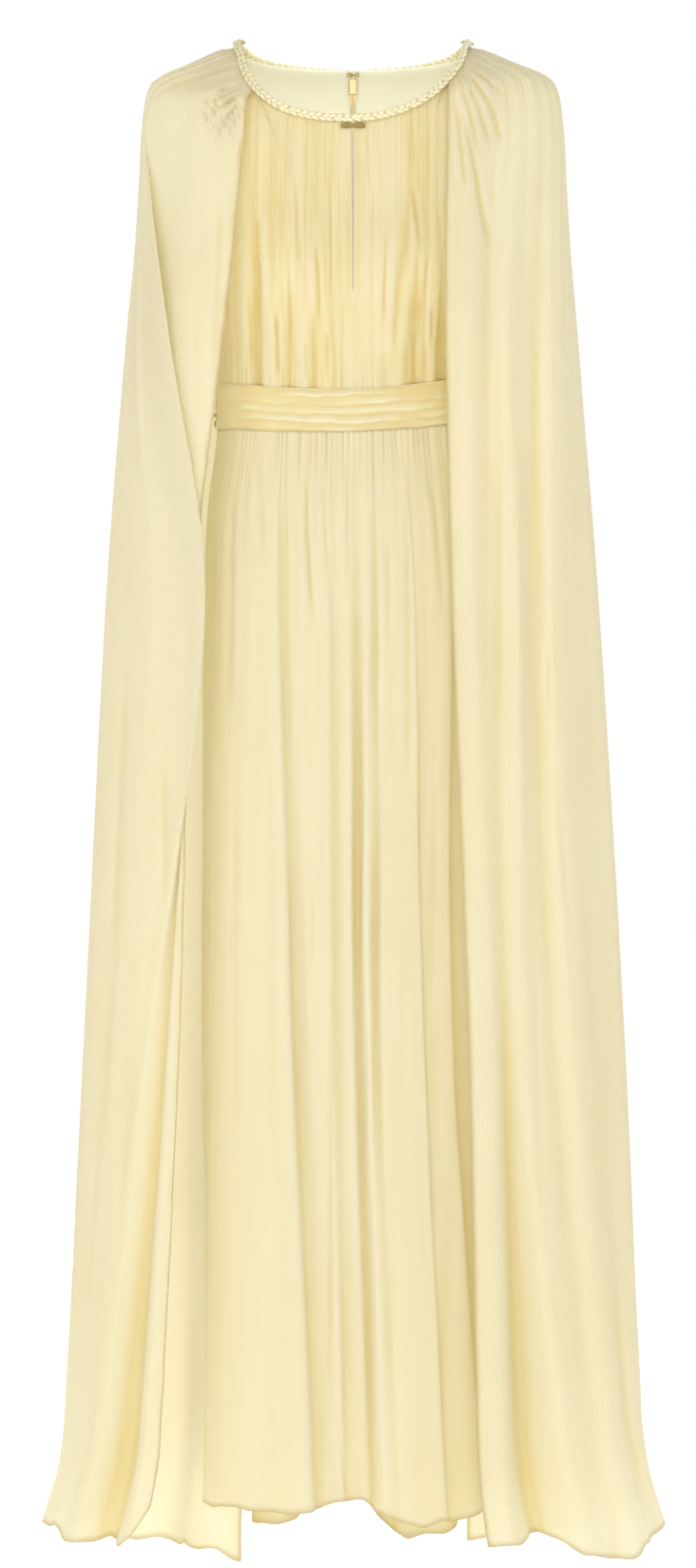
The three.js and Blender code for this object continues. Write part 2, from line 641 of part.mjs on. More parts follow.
/**
 * A length of braid along the neckline. Its stations run from one number to another: 0 is the
 * centre of the face, and 1 and -1 are the wearer's left and right side.
 */
function braid(face, from, to, steps) {
  const pointAt = (station, out) => {
    const at = clamp(station, Math.min(from, to), Math.max(from, to));
    return neckPoint(Math.abs(at), face, at < 0 ? RIGHT : LEFT, out);
  };
  const rings = Array.from({ length: steps + 1 }, (_, k) => {
    const station = lerp(from, to, k / steps);
    const capeStart = face === FRONT ? CAPE_NECK.front : CAPE_NECK.back;
    const overCape = smoothstep(Math.abs(station), capeStart - 0.2, capeStart - 0.05);
    const capeLift = overCape * capeNeckOut(Math.abs(station), face);
    const lift = SEAM + (face === FRONT ? BODICE.gather : 0) + capeLift;
    const lean = BRAID.lean * overCape;
    const base = pointAt(station, lift);
    const up = pointAt(station, lift + 1).sub(base);
    const half = (to - from) / steps / 2;
    const along = pointAt(station + half, 0).sub(pointAt(station - half, 0));
    const across = up.clone().cross(along).normalize();
    const swell = k % 2 ? 1 : BRAID.narrow;
    return BRAID_SECTION.map((row) => base.clone()
      .addScaledVector(across, row.across * BRAID.half * swell)
      .addScaledVector(up, row.up * BRAID.high * swell + lean * Math.max(-row.across, 0)));
  });
  return sweep(rings);
}

function keyholeBar() {
  const { half, high, thick, corner, bevel, below, before } = KEYHOLE_BAR;
  const outline = new THREE.Shape();
  outline.absarc(half - corner, high - corner, corner, 0, Math.PI / 2);
  outline.absarc(corner - half, high - corner, corner, Math.PI / 2, Math.PI);
  outline.absarc(corner - half, corner - high, corner, Math.PI, 1.5 * Math.PI);
  outline.absarc(half - corner, corner - high, corner, 1.5 * Math.PI, 2 * Math.PI);
  const bar = new THREE.ExtrudeGeometry(outline, {
    depth: thick, curveSegments: 2, bevelSegments: 1,
    bevelThickness: bevel, bevelSize: bevel, bevelOffset: -bevel,
  });
  bar.rotateX(Math.PI / 2);
  const z = NECK.frontZ - below;
  bar.translate(0, torso(0, z, FRONT).y - before, z);
  return bar;
}

// ---------------------------------------------------------------- zip and hook

/** The heights of the rows of the cloth down the centre back, from the neck to the zip's end. */
function zipHeights() {
  const waist = bandZ(BAND.topZ, BAND.dip, 0, BACK) + 2 * SEAM;
  const band = bandZ(BAND.bottomZ, BAND.bottomDip, 0, BACK);
  const bodice = Array.from({ length: BODICE.rows + 1 }, (_, j) => (
    lerp(NECK.backZ, waist, (j / BODICE.rows) ** BODICE.crowding)));
  const skirt = Array.from({ length: SKIRT_ROWS.back + 1 }, (_, j) => (
    lerp(band - SEAM, CENTRE_SEAM.hemZ, skirtFall(j, SKIRT_ROWS.back))));
  return [...bodice, ...skirt.filter((z) => z > ZIP.endZ)];
}

/**
 * A strip that runs down the centre back from the zip's top, inside the cloth, between two
 * distances from it. It turns where the cloth's rows turn.
 */
function backStrip(from, to, { inside, thick }) {
  const heights = zipHeights();
  const first = heights.findIndex((z) => z < ZIP.topZ);
  const point = (u, k) => torso(turnOf(lerp(to, from, u), heights[k]), heights[k], BACK);
  const start = (ZIP.topZ - heights[first - 1]) / (heights[first] - heights[first - 1]);
  const grid = gridOf(1, heights.length - first, (u, _, __, j) => (
    j === 0 ? point(u, first - 1).lerp(point(u, first), start) : point(u, first + j - 1)));
  return cloth(grid, { wall: thick, side: Math.sign(to - from), raise: () => -inside });
}

function zipTape(side) {
  return backStrip(side * ZIP_TAPE.from, side * ZIP_TAPE.to, ZIP_TAPE);
}

function zipChain() {
  return backStrip(-ZIP_CHAIN.half, ZIP_CHAIN.half, ZIP_CHAIN);
}

/** Turns and places a piece so that its own Y is the outward normal of the centre back at z. */
function onCentreBack(geometry, z) {
  const above = torso(0, z + 1, BACK);
  const under = torso(0, z - 1, BACK);
  geometry.rotateX(Math.atan2(under.y - above.y, above.z - under.z));
  const point = torso(0, z, BACK);
  geometry.translate(0, point.y, z);
  return geometry;
}

/** The slider: its body inside the cloth, a neck through the opening, and the pull's pin. */
function zipSlider() {
  const body = new THREE.BoxGeometry(2 * SLIDER.half, SLIDER.thick, SLIDER.long);
  body.translate(0, -SLIDER.inside - SLIDER.thick / 2, 0);
  const top = PIN.out + SLIDER.cap;
  const neck = new THREE.BoxGeometry(SLIDER.neck, top + SLIDER.inside + SLIDER.neck / 2,
    SLIDER.neckLong);
  neck.translate(0, (top - SLIDER.inside - SLIDER.neck / 2) / 2, 0);
  const pin = new THREE.CylinderGeometry(PIN.radius, PIN.radius, 2 * PIN.half, 10);
  pin.rotateZ(Math.PI / 2);
  pin.translate(0, PIN.out, 0);
  return onCentreBack(join(body, neck, pin), ZIP.sliderZ);
}

/** One of the two rings that hold the pull on its pin. */
function pullRing(side) {
  const outline = new THREE.Shape();
  outline.absarc(0, 0, PULL.ring, 0, 2 * Math.PI);
  const bore = new THREE.Path();
  bore.absarc(0, 0, PULL.bore, 0, 2 * Math.PI, true);
  outline.holes.push(bore);
  const ring = new THREE.ExtrudeGeometry(outline, {
    depth: PULL.arm, bevelEnabled: false, curveSegments: 8,
  });
  ring.rotateY(Math.PI / 2);
  ring.translate(side > 0 ? PULL.inner : -PULL.inner - PULL.arm, 0, 0);
  return ring;
}

/** The pull tab: a plate that hangs from two rings, slotted to clear the slider's neck. */
function zipPull() {
  const arm = PULL.inner + PULL.arm;
  const top = -PULL.bore - 0.1;
  const round = PULL.half - PULL.long;
  const tab = new THREE.Shape();
  tab.moveTo(-PULL.inner, top);
  tab.lineTo(-arm, top);
  tab.lineTo(-PULL.half, -PULL.shoulder);
  tab.lineTo(-PULL.half, round);
  tab.absarc(0, round, PULL.half, Math.PI, 2 * Math.PI);
  tab.lineTo(PULL.half, -PULL.shoulder);
  tab.lineTo(arm, top);
  tab.lineTo(PULL.inner, top);
  tab.lineTo(PULL.inner, -PULL.slot);
  tab.lineTo(-PULL.inner, -PULL.slot);
  const plate = new THREE.ExtrudeGeometry(tab, {
    depth: PULL.thick, bevelEnabled: false, curveSegments: 6,
  });
  plate.rotateX(Math.PI / 2);
  plate.translate(0, PULL.thick / 2, 0);
  const pull = join(plate, pullRing(LEFT), pullRing(RIGHT));
  pull.translate(0, PIN.out, 0);
  return onCentreBack(pull, ZIP.sliderZ);
}

/** A bent wire in the plane of the back, inside the lining. */
function wire(points) {
  const path = new THREE.CatmullRomCurve3(points.map(([x, z]) => new THREE.Vector3(x, 0, z)));
  const section = new THREE.Shape();
  section.absarc(0, 0, WIRE.radius, 0, 2 * Math.PI);
  const bent = new THREE.ExtrudeGeometry(section, {
    steps: WIRE.steps, extrudePath: path, bevelEnabled: false, curveSegments: 2,
  });
  bent.translate(0, -(LINING.inside + SHEER + SEAM + WIRE.clear), 0);
  return onCentreBack(bent, HOOK_Z);
}

// ---------------------------------------------------------------- the dress

const fabric = (color, roughness = 0.85) => (
  new THREE.MeshStandardMaterial({ color, roughness, metalness: 0, side: THREE.DoubleSide }));
const CHIFFON = fabric(0xf0e0b4);
const SASH = fabric(0xecdba2);
const VOILE = new THREE.MeshStandardMaterial({
  color: 0xf0e9c3, roughness: 0.9, metalness: 0, transparent: true, opacity: 0.8,
});
const SATEEN = fabric(0xf2eecc, 0.7);
const CORD = fabric(0xefe6be, 0.6);
const NYLON = fabric(0xf3e0af, 0.5);
const BRONZE = new THREE.MeshStandardMaterial({ color: 0x98874c, roughness: 0.4, metalness: 0.9 });

const dress = new THREE.Group();

function add(name, geometry, material) {
  geometry.computeVertexNormals();
  const mesh = new THREE.Mesh(geometry, material);
  mesh.name = name;
  dress.add(mesh);
}

add('bodice_front', bodiceFront(), CHIFFON);
add('bodice_back_left', bodiceBack(LEFT), CHIFFON);
add('bodice_back_right', bodiceBack(RIGHT), CHIFFON);
add('back_lining_left', backLining(LEFT), SATEEN);
add('back_lining_right', backLining(RIGHT), SATEEN);
add('waistband_front', bandFront(), SASH);
add('waistband_back_left', bandBack(LEFT), SASH);
add('waistband_back_right', bandBack(RIGHT), SASH);
add('skirt_front', skirtFront(), CHIFFON);
add('skirt_back_left', skirtBack(LEFT, SKIRT_BACK_LEFT), CHIFFON);
add('skirt_back_right', skirtBack(RIGHT, SKIRT_BACK_RIGHT), CHIFFON);
add('cape_left', cape(LEFT, CAPE_LEFT), VOILE);
add('cape_right', cape(RIGHT, CAPE_RIGHT), VOILE);
add('neck_braid_front', braid(FRONT, -1, 1, BRAID_STEPS.front), CORD);
add('neck_braid_back_left', braid(BACK, 1, BRAID.centre, BRAID_STEPS.back), CORD);
add('neck_braid_back_right', braid(BACK, -BRAID.centre, -1, BRAID_STEPS.back), CORD);
add('keyhole_bar', keyholeBar(), BRONZE);
add('zip_tape_left', zipTape(LEFT), NYLON);
add('zip_tape_right', zipTape(RIGHT), NYLON);
add('zip_chain', zipChain(), NYLON);
add('zip_slider', zipSlider(), NYLON);
add('zip_pull', zipPull(), NYLON);
add('hook', wire(HOOK), BRONZE);
add('eye', wire(EYE), BRONZE);

export default dress;
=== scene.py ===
"""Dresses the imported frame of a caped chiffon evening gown: cloth, trim, materials and studio.

Sizes are in millimetres until a mesh is made. +Z is up, the wearer faces -Y and their left side
is +X. The cloth follows the tables that shape the solids of the frame, at a finer grain and
with shallower valleys in the skirt's front.
"""
import json

import bpy
import numpy as np
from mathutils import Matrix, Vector

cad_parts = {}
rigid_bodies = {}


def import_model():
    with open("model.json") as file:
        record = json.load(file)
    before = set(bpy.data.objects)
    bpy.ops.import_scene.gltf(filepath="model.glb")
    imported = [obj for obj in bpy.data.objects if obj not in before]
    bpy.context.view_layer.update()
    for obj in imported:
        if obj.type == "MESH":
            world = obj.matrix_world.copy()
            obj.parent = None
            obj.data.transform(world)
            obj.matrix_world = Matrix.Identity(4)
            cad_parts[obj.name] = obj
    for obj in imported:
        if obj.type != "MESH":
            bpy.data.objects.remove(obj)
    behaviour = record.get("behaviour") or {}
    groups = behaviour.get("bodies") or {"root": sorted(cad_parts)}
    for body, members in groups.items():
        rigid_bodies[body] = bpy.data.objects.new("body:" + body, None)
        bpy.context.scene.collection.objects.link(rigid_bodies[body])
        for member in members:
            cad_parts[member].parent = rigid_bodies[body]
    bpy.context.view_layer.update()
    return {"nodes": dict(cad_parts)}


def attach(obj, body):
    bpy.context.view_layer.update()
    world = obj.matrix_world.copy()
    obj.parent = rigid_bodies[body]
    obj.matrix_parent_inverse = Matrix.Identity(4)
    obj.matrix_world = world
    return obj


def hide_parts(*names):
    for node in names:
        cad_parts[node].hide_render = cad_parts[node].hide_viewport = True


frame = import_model()

MM = 0.001

# ---------- sizes of the frame

CLOTH, SHEER, SEAM = 1.5, 1.2, 0.3  # walls of the solids, and the gap between them
FRONT, BACK = -1, 1  # the faces of the body, as the sign of Y
LEFT, RIGHT = 1, -1  # the wearer's sides, as the sign of X
COLUMN = {FRONT: "front", BACK: "back"}

NECK_HALF, NECK_SIDE_Z, NECK_SHARE = 112, -4, 0.72
NECK_Z = {FRONT: -88, BACK: -19}
NECK_SINK = 5
NECK_ROUND = {(FRONT, LEFT): 1.9, (FRONT, RIGHT): 2.45, (BACK, LEFT): 2.2, (BACK, RIGHT): 2.2}
SHOULDER_TIP, SHOULDER_TIP_Z, SHOULDER_ROUND = 172, -38, 80
BUST_X, BUST_Z, BUST_OUT, BUST_RADIUS = 74, -238, 13, 50
BODICE_CROWDING = 1.57
KEYHOLE_WIDTH, KEYHOLE_END, KEYHOLE_RUN = 4.6, 0.8, 0.75
BAND_TOP_Z, BAND_BOTTOM_Z, BAND_TILT = -338, -385, 4
BAND_DIP = {FRONT: 16, BACK: 5}
BAND_BOTTOM_DIP = {FRONT: 12, BACK: 4}
BAND_PROUD = 1.6
ZIP_OPEN, ZIP_TOP_Z, ZIP_END_Z = 0.6, -36.5, -527
ZIP_LINING, ZIP_LINING_BELOW, ZIP_LINING_LOW = 4, 1.7, 0.5
CAD_BACK_ROWS = 8
LINING_INSIDE, LINING_RISE = 4, 5


def table(columns, *rows):
    """Columns of numbers under their names."""
    values = np.array(rows, float)
    return {name: values[:, k] for k, name in enumerate(columns.split())}


BODY = table(
    "z half front back",
    (0, 190, 84, 72), (-90, 182, 94, 84), (-170, 168, 104, 93), (-235, 155, 112, 96),
    (-300, 143, 102, 86), (-345, 137, 90, 77), (-397, 138, 90, 78), (-470, 147, 98, 94),
    (-560, 151, 103, 108), (-780, 152, 110, 120), (-1010, 153, 116, 133),
    (-1245, 148, 122, 150), (-1480, 141, 128, 165))
ARMHOLE = table(
    "z turn", (-38, 65), (-60, 56), (-100, 50), (-150, 48.5), (-182, 52), (-204, 62),
    (-218, 76), (-230, 90))
BODICE_GROOVES = table(
    "x top bottom depth width", (-97, -170, -352, 4.5, 6), (-62, -235, -345, 3.5, 9),
    (-40, -262, -345, 2.5, 6), (62, -215, -345, 4, 9), (88, -250, -350, 4.5, 6))

# Fold lines of the skirt from the side seam of the wearer's right, round the front.
SKIRT_COLUMNS = "waist knee hem kneeOut hemOut hemZ"
FAR = 999
SIDE_SEAM = (FAR, FAR, FAR, 0, 0, -1472)
RIGHT_SEAM = (-FAR, -FAR, -FAR, 0, 0, -1472)
CENTRE_SEAM = (ZIP_OPEN, SEAM / 2, SEAM / 2, 0, 0, -1495)
SKIRT_FRONT = table(
    SKIRT_COLUMNS, RIGHT_SEAM,
    (-122, -127, -126, 18, 26, -1461), (-98, -94, -84, 28, 42, -1457),
    (-75, -59, -38, 25, 34, -1457), (-68, -52, -30, 14, 18, -1453),
    (-50, -37, -22, 18, 16, -1450), (-26, -21, -9, 19, 18, -1449),
    (-20, -14, -3, 14, 12, -1450), (-6, -1, 13, 17, 13, -1449),
    (1, 6, 19, 9, 12, -1453), (9, 14, 26, 19, 30, -1462),
    (19, 22, 36, 15, 33, -1467), (27, 31, 46, 21, 38, -1469),
    (48, 60, 72, 23, 38, -1469), (54, 66, 79, 17, 31, -1467),
    (84, 88, 104, 20, 33, -1464), (92, 96, 112, 10, 16, -1458),
    (112, 124, 129, 14, 18, -1463), SIDE_SEAM)
SKIRT_BACK = {
    LEFT: table(
        SKIRT_COLUMNS, SIDE_SEAM, (122, 134, 129, 12, 20, -1482), (98, 106, 104, 1, 1, -1498),
        (76, 84, 86, 18, 32, -1524), (52, 60, 60, 3, 4, -1531), (34, 38, 35, 17, 30, -1530),
        (12, 14, 13, 5, 5, -1499), CENTRE_SEAM),
    RIGHT: table(
        SKIRT_COLUMNS, SIDE_SEAM, (122, 131, 127, 12, 22, -1480), (100, 107, 106, 1, 1, -1494),
        (80, 86, 82, 19, 33, -1519), (55, 62, 62, 3, 3, -1512), (36, 42, 40, 16, 27, -1501),
        (13, 17, 15, 5, 5, -1495), CENTRE_SEAM),
}
SKIRT_WAIST, SKIRT_HIP, SKIRT_KNEE, SKIRT_HEM = -397, -540, -1000, -1470

# The form that the capes hang in, and their fold lines from the front edge to the back edge.
CAPE_RING = -88
CAPES = table(
    "z half front back",
    (CAPE_RING, 213, 106, 92), (-200, 220, 124, 106), (-300, 229, 130, 116),
    (-560, 249, 126, 134), (-1000, 273, 150, 165), (-1360, 290, 168, 192),
    (-1430, 296, 172, 198), (-1485, 314, 178, 205), (-1560, 318, 182, 210))
CAPE_SHOULDER = table(
    "out drop", (0, 0), (0.14, 0.055), (0.34, 0.14), (0.55, 0.235), (0.78, 0.335),
    (0.93, 0.5), (1, 1))
CAPE_LEVELS = {"shoulder": CAPE_RING, "chest": -300, "hip": -560, "knee": -1000, "hem": -1480}
CAPE_COLUMNS = "shoulder chest hip knee hem chestIn hipIn kneeIn hemIn hemZ"
CAPE_FOLDS = {
    LEFT: table(
        CAPE_COLUMNS,
        (-64, -66.5, -67, -65.5, -65.4, 0, 0, 0, 0, -1493),
        (-55, -59, -61, -60, -59, 0, 1, 0, 0, -1494),
        (-48, -54, -56, -56, -51, 8, 9, 12, 42, -1487),
        (-41, -48, -49, -52, -44.5, 0, 0, 0, 0, -1501),
        (-30, -37, -42, -43, -34, 7, 11, 8, 4, -1512),
        (-16, -27.5, -36.5, -36, -22, -1, -1, 0, 0, -1507),
        (-4, -14, -22, -21, -12, 4, 8, 9, 9, -1496),
        (8, 5, 2, 0, 0, 0, 0, 0, 0, -1489),
        (22, 20, 18, 18, 18, 6, 12, 26, 42, -1494),
        (36, 35, 34, 34, 36, 0, 0, 0, 0, -1516),
        (49, 47, 46, 48, 49, 6, 11, 24, 38, -1520),
        (62, 60, 60, 61, 59, 0, 0, 0, 0, -1538),
        (80, 76, 72, 69, 67.4, 0, 2, 4, 6, -1546)),
    RIGHT: table(
        CAPE_COLUMNS,
        (-60, -56, -50.5, -51, -49, 0, 2, 3, 0, -1456),
        (-44, -40, -48.5, -48, -43.5, 4, 6, 3, 0, -1497),
        (-18, -20, -45.5, -45.5, -34, 14, 19, 10, 32, -1488),
        (-13, -37.5, -54.5, -42, -29, -2, -5, -1, 0, -1497),
        (-8, -23, -40, -34, -20, -2, 0, 2, 5, -1493),
        (0, -9, -25, -24, -10, 2, 4, 6, 6, -1488),
        (8, 5, 2, 0, 0, 0, 0, 0, 0, -1485),
        (22, 20, 18, 18, 20, 6, 13, 27, 44, -1500),
        (36, 34, 34, 35, 35, 0, 0, 0, 0, -1524),
        (49, 48, 47, 48, 49, 6, 10, 22, 36, -1530),
        (62, 61, 60, 60, 58, 0, 0, 0, 0, -1550),
        (80, 76, 72, 70, 68, 0, 2, 4, 6, -1560)),
}
CAPE_NECK_FRONT = {LEFT: 0.6, RIGHT: 0.53}
CAPE_NECK_BACK = 0.16
CAPE_LIFT = {FRONT: 2.4, BACK: 1}
CAPE_ROOM_SEAM, CAPE_ROOM_SHOULDER, CAPE_ROOM_ROWS = 3, 5.5, 3

# ---------- where the photograph shows it

PHOTO_MM = 0.96  # millimetres for each pixel of the 732 x 1650 picture
PHOTO_X, PHOTO_Y = 371, 48  # the origin's pixel
EYE = (-5, -4500, -746)  # the camera


def seen(points, y):
    """The x and z, in millimetres, of pixels of the photograph on a surface at the depth y."""
    pixels = np.array(points, float)
    near = (y - EYE[1]) / -EYE[1]
    x = (pixels[:, 0] - PHOTO_X) * PHOTO_MM
    z = (PHOTO_Y - pixels[:, 1]) * PHOTO_MM
    return EYE[0] + (x - EYE[0]) * near, EYE[2] + (z - EYE[2]) * near


# Creases as the photograph shows them: depth, width, and pixels from the top down. A depth less
# than 0 is a ridge.
BODICE_DEPTH = -104
BODICE_CREASES = (
    (1.6, 3, (270, 215), (270, 330)),
    (2.2, 2.5, (289, 320), (290, 350), (291, 402)),
    (1.1, 2.5, (310, 180), (313, 240), (316, 300)),
    (1.1, 2.4, (331, 250), (334, 290), (335, 340)),
    (0.8, 2.2, (301, 230), (303, 300), (304, 370)),
    (0.7, 2.2, (346, 170), (348, 260), (349, 330)),
    (1.2, 2.5, (259, 300), (261, 340), (262, 392)),
    (0.7, 2.2, (393, 180), (391, 270), (390, 340)),
    (0.8, 2.2, (407, 230), (404, 300), (402, 360)),
    (1.6, 4.5, (430, 200), (424, 260), (418, 310), (412, 405)),
    (1.2, 2.4, (433, 190), (440, 260)),
    (0.9, 2.4, (451, 210), (449, 280), (446, 330)),
    (1.8, 3, (463, 210), (466, 290), (464, 340)),
    (1.6, 2.2, (455, 320), (454, 362)),
    (1.1, 2.2, (320, 350), (322, 404)),
    (0.9, 2, (343, 345), (344, 404)),
    (1.2, 2.2, (437, 350), (436, 400)),
)
SKIRT_DEPTH = -118
SKIRT_CREASES = (
    (1.4, 3.8, (243, 470), (241, 620), (238, 800)),
    (-1, 3, (263, 455), (263, 560)),
    (1.1, 2.6, (272, 470), (276, 600)),
    (1, 4.5, (248, 800), (246, 1000), (247, 1260)),
    (0.7, 5.2, (285, 720), (286, 1000), (292, 1300)),
    (1.7, 3, (320, 470), (322, 560), (331, 680)),
    (1.4, 2.6, (337, 480), (341, 560), (346, 630)),
    (1, 3, (329, 930), (328, 1020)),
    (1.4, 3, (352, 990), (349, 1098), (346, 1434), (352, 1490)),
    (1.2, 2.6, (352, 1480), (361, 1541), (366, 1584)),
    (1.3, 3, (362, 465), (366, 560), (368, 640)),
    (0.7, 3.4, (376, 600), (376, 900), (376, 1250)),
    (0.8, 3, (391, 480), (395, 720), (397, 840), (392, 1300)),
    (1.4, 3, (407, 560), (408, 700)),
    (1.9, 3.8, (428, 480), (429, 700), (428, 860)),
    (1.6, 3, (447, 470), (460, 560), (467, 660)),
    (0.7, 3.8, (454, 700), (456, 900), (452, 1100)),
    (0.6, 4.5, (438, 900), (440, 1200), (462, 1500)),
    (0.6, 3.8, (412, 900), (409, 1200), (420, 1500)),
)
CAPE_DEPTH = {LEFT: -95, RIGHT: -90}
CAPE_CREASES = {LEFT: (
    (1.9, 3, (485, 118), (500, 180), (515, 262)),
    (1.5, 2.6, (492, 66), (515, 84), (537, 104)),
    (2, 3, (492, 74), (516, 108), (531, 156)),
    (1.6, 2.4, (489, 82), (506, 118), (517, 160)),
    (1.5, 2.4, (486, 90), (496, 128), (504, 170)),
    (1.5, 2.6, (479, 104), (484, 150), (490, 210)),
    (1.2, 4.5, (500, 185), (507, 230), (516, 262)),
    (-1.1, 4.5, (533, 330), (538, 434), (546, 506), (546, 758), (549, 930), (550, 1010)),
    (0.8, 4.5, (524, 300), (526, 520), (524, 800)),
    (0.7, 4.5, (562, 300), (566, 520), (568, 700)),
    (1.4, 2.6, (577, 670), (577, 750)),
    (1.1, 3.8, (580, 740), (595, 925), (602, 1000)),
    (0.7, 4.5, (558, 900), (566, 1200), (578, 1400)),
    (0.7, 6, (616, 900), (628, 1200), (650, 1370)),
    (1.4, 4.5, (649, 1350), (664, 1501), (687, 1610)),
    (0.8, 5.2, (530, 1000), (534, 1300), (540, 1560)),
    (0.6, 5.2, (602, 330), (606, 600)),
), RIGHT: (
    (2, 3, (249, 80), (230, 83), (206, 86)),
    (2.2, 2.6, (250, 88), (236, 92), (218, 97)),
    (2.8, 3, (250, 92), (232, 101), (208, 110)),
    (2.2, 2.4, (251, 96), (240, 107), (225, 119)),
    (3.2, 3, (252, 99), (230, 111), (201, 130)),
    (3, 2.8, (254, 103), (238, 122), (221, 147)),
    (2.2, 2.4, (258, 108), (247, 124), (236, 146)),
    (1.8, 2.6, (262, 112), (256, 140), (246, 182)),
    (0.7, 6, (150, 300), (152, 600)),
    (1, 4.5, (170, 770), (175, 1000)),
    (1, 3.8, (129, 690), (124, 802), (119, 899), (114, 1025)),
    (0.8, 6, (140, 1010), (128, 1250), (112, 1500)),
    (0.7, 3.8, (204, 300), (209, 460)),
    (0.7, 3.8, (232, 180), (228, 300), (222, 420)),
)}

# ---------- curves and noise


def lerp(a, b, t):
    return a + (b - a) * t


def smoothstep(x, low, high):
    t = np.clip((x - low) / (high - low), 0, 1)
    return t * t * (3 - 2 * t)


def value_at(rows, name, z):
    """One column of a table at heights z, on a smooth curve through its rows, highest first."""
    heights, values = rows["z"], rows[name]
    last = len(heights) - 1
    before = np.maximum(np.arange(last + 1) - 1, 0)
    after = np.minimum(np.arange(last + 1) + 1, last)
    slopes = (values[after] - values[before]) / (heights[after] - heights[before])
    k = np.clip(np.searchsorted(-heights, -np.asarray(z, float)) - 1, 0, last - 1)
    span = heights[k + 1] - heights[k]
    t = np.clip((z - heights[k]) / span, 0, 1)
    start = (values[k] * (1 + 2 * t) + slopes[k] * span * t) * (1 - t) ** 2
    end = (values[k + 1] * (3 - 2 * t) + slopes[k + 1] * span * (t - 1)) * t * t
    return start + end


def through(knots, t):
    """Points of the Catmull-Rom curve through knots, whose first axis is the curve's, at t."""
    padded = np.concatenate([2 * knots[:1] - knots[1:2], knots, 2 * knots[-1:] - knots[-2:-1]])
    k = np.clip(np.floor(t).astype(int), 0, len(knots) - 2)
    w = (t - k).reshape((-1,) + (1,) * (knots.ndim - 1))
    a, b, c, d = (padded[k + n] for n in range(4))
    slope_b, slope_c = (c - a) / 2, (d - b) / 2
    return ((2 * b - 2 * c + slope_b + slope_c) * w ** 3
            + (3 * c - 3 * b - 2 * slope_b - slope_c) * w ** 2 + slope_b * w + b)


def unit(vectors):
    return vectors / np.linalg.norm(vectors, axis=-1, keepdims=True)


def lengths(path):
    """The length of a path of points up to each of them."""
    return np.concatenate([[0], np.cumsum(np.linalg.norm(np.diff(path, axis=0), axis=-1))])


def even_steps(path, count):
    """Parameters at equal lengths along a path of points."""
    length = lengths(path)
    return np.interp(np.linspace(0, length[-1], count), length, np.arange(len(path)))


def along(points, axis):
    """The length of cloth from the first row or column to each point."""
    steps = np.linalg.norm(np.diff(points, axis=axis), axis=2)
    start = np.zeros_like(np.take(steps, [0], axis=axis))
    return np.concatenate([start, np.cumsum(steps, axis=axis)], axis=axis)


def noise(u, v, seed):
    """Smooth noise from -1 to 1 over a lattice of one unit."""
    lattice = np.random.default_rng(seed).uniform(-1, 1, (64, 64))
    u, v = np.broadcast_arrays(np.asarray(u, float), np.asarray(v, float))
    i, j = np.floor(u).astype(int), np.floor(v).astype(int)
    s, t = smoothstep(u - i, 0, 1), smoothstep(v - j, 0, 1)
    corner = [lattice[(i + a) % 64, (j + b) % 64] for a, b in ((0, 0), (1, 0), (0, 1), (1, 1))]
    return lerp(lerp(corner[0], corner[1], s), lerp(corner[2], corner[3], s), t)


def gathers(across, down, width, seed):
    """Uneven ridges from 0 to 1 across the cloth: their mean width, in millimetres."""
    phase = across / width + 0.55 * noise(across / (2.6 * width), down / 130, seed)
    crest = 0.5 + 0.5 * np.cos(2 * np.pi * phase)
    strength = 0.62 + 0.38 * noise(across / (1.7 * width) + 9, down / 75, seed + 1)
    return crest ** 0.8 * strength


def creased(x, z, creases, depth_y):
    """How far the listed creases move the cloth along its normal."""
    moved = np.zeros_like(x)
    for depth, width, *points in creases:
        line_x, line_z = seen(points, depth_y)
        centre = np.interp(-z, -line_z, line_x)
        away = (x - centre) / width
        fade = 0.3 * (line_z[0] - line_z[-1])
        ends = smoothstep(line_z[0] - z, 0, fade) * smoothstep(z - line_z[-1], 0, fade)
        profile = 0.35 * np.exp(-(np.abs(away) - 2) ** 2) - np.exp(-away ** 2)
        moved += depth * profile * ends
    return moved


# ---------- the body's surface


def shoulder_z(x):
    share = np.maximum(0, (np.abs(x) - NECK_HALF) / (SHOULDER_TIP - NECK_HALF))
    return lerp(NECK_SIDE_Z, SHOULDER_TIP_Z, share)


def torso(turn, z, face, room=0):
    """Points of the body's surface: turn is from the centre of the face, in radians."""
    turn, z = np.broadcast_arrays(np.asarray(turn, float), np.asarray(z, float))
    x = value_at(BODY, "half", z) * np.sin(turn)
    depth = value_at(BODY, COLUMN[face], z)
    below = np.clip((shoulder_z(x) - z) / SHOULDER_ROUND, 0, 1)
    curve = np.sqrt(1 - (1 - below) ** 2)
    bust = 0
    if face == FRONT:
        off = ((np.abs(x) - BUST_X) ** 2 + (z - BUST_Z) ** 2) / (2 * BUST_RADIUS ** 2)
        bust = BUST_OUT * np.exp(-off)
    y = SEAM / 2 + room * (1 - curve) + (depth * curve + bust) * np.cos(turn)
    return np.stack([x, face * y, z], axis=-1)


def turn_of(x, z):
    return np.arcsin(np.clip(x / value_at(BODY, "half", z), -1, 1))


def neck_outline(parameter, face, side):
    """The neckline's x and z: the parameter is 1 at the centre and 0 at the side."""
    power = 2 / NECK_ROUND[face, side]
    turn = parameter ** 2 * np.pi / 2
    drop = NECK_Z[face] - NECK_SIDE_Z
    x = NECK_HALF * np.maximum(np.cos(turn), 0) ** power
    return x, NECK_SIDE_Z + drop * np.sin(turn) ** power


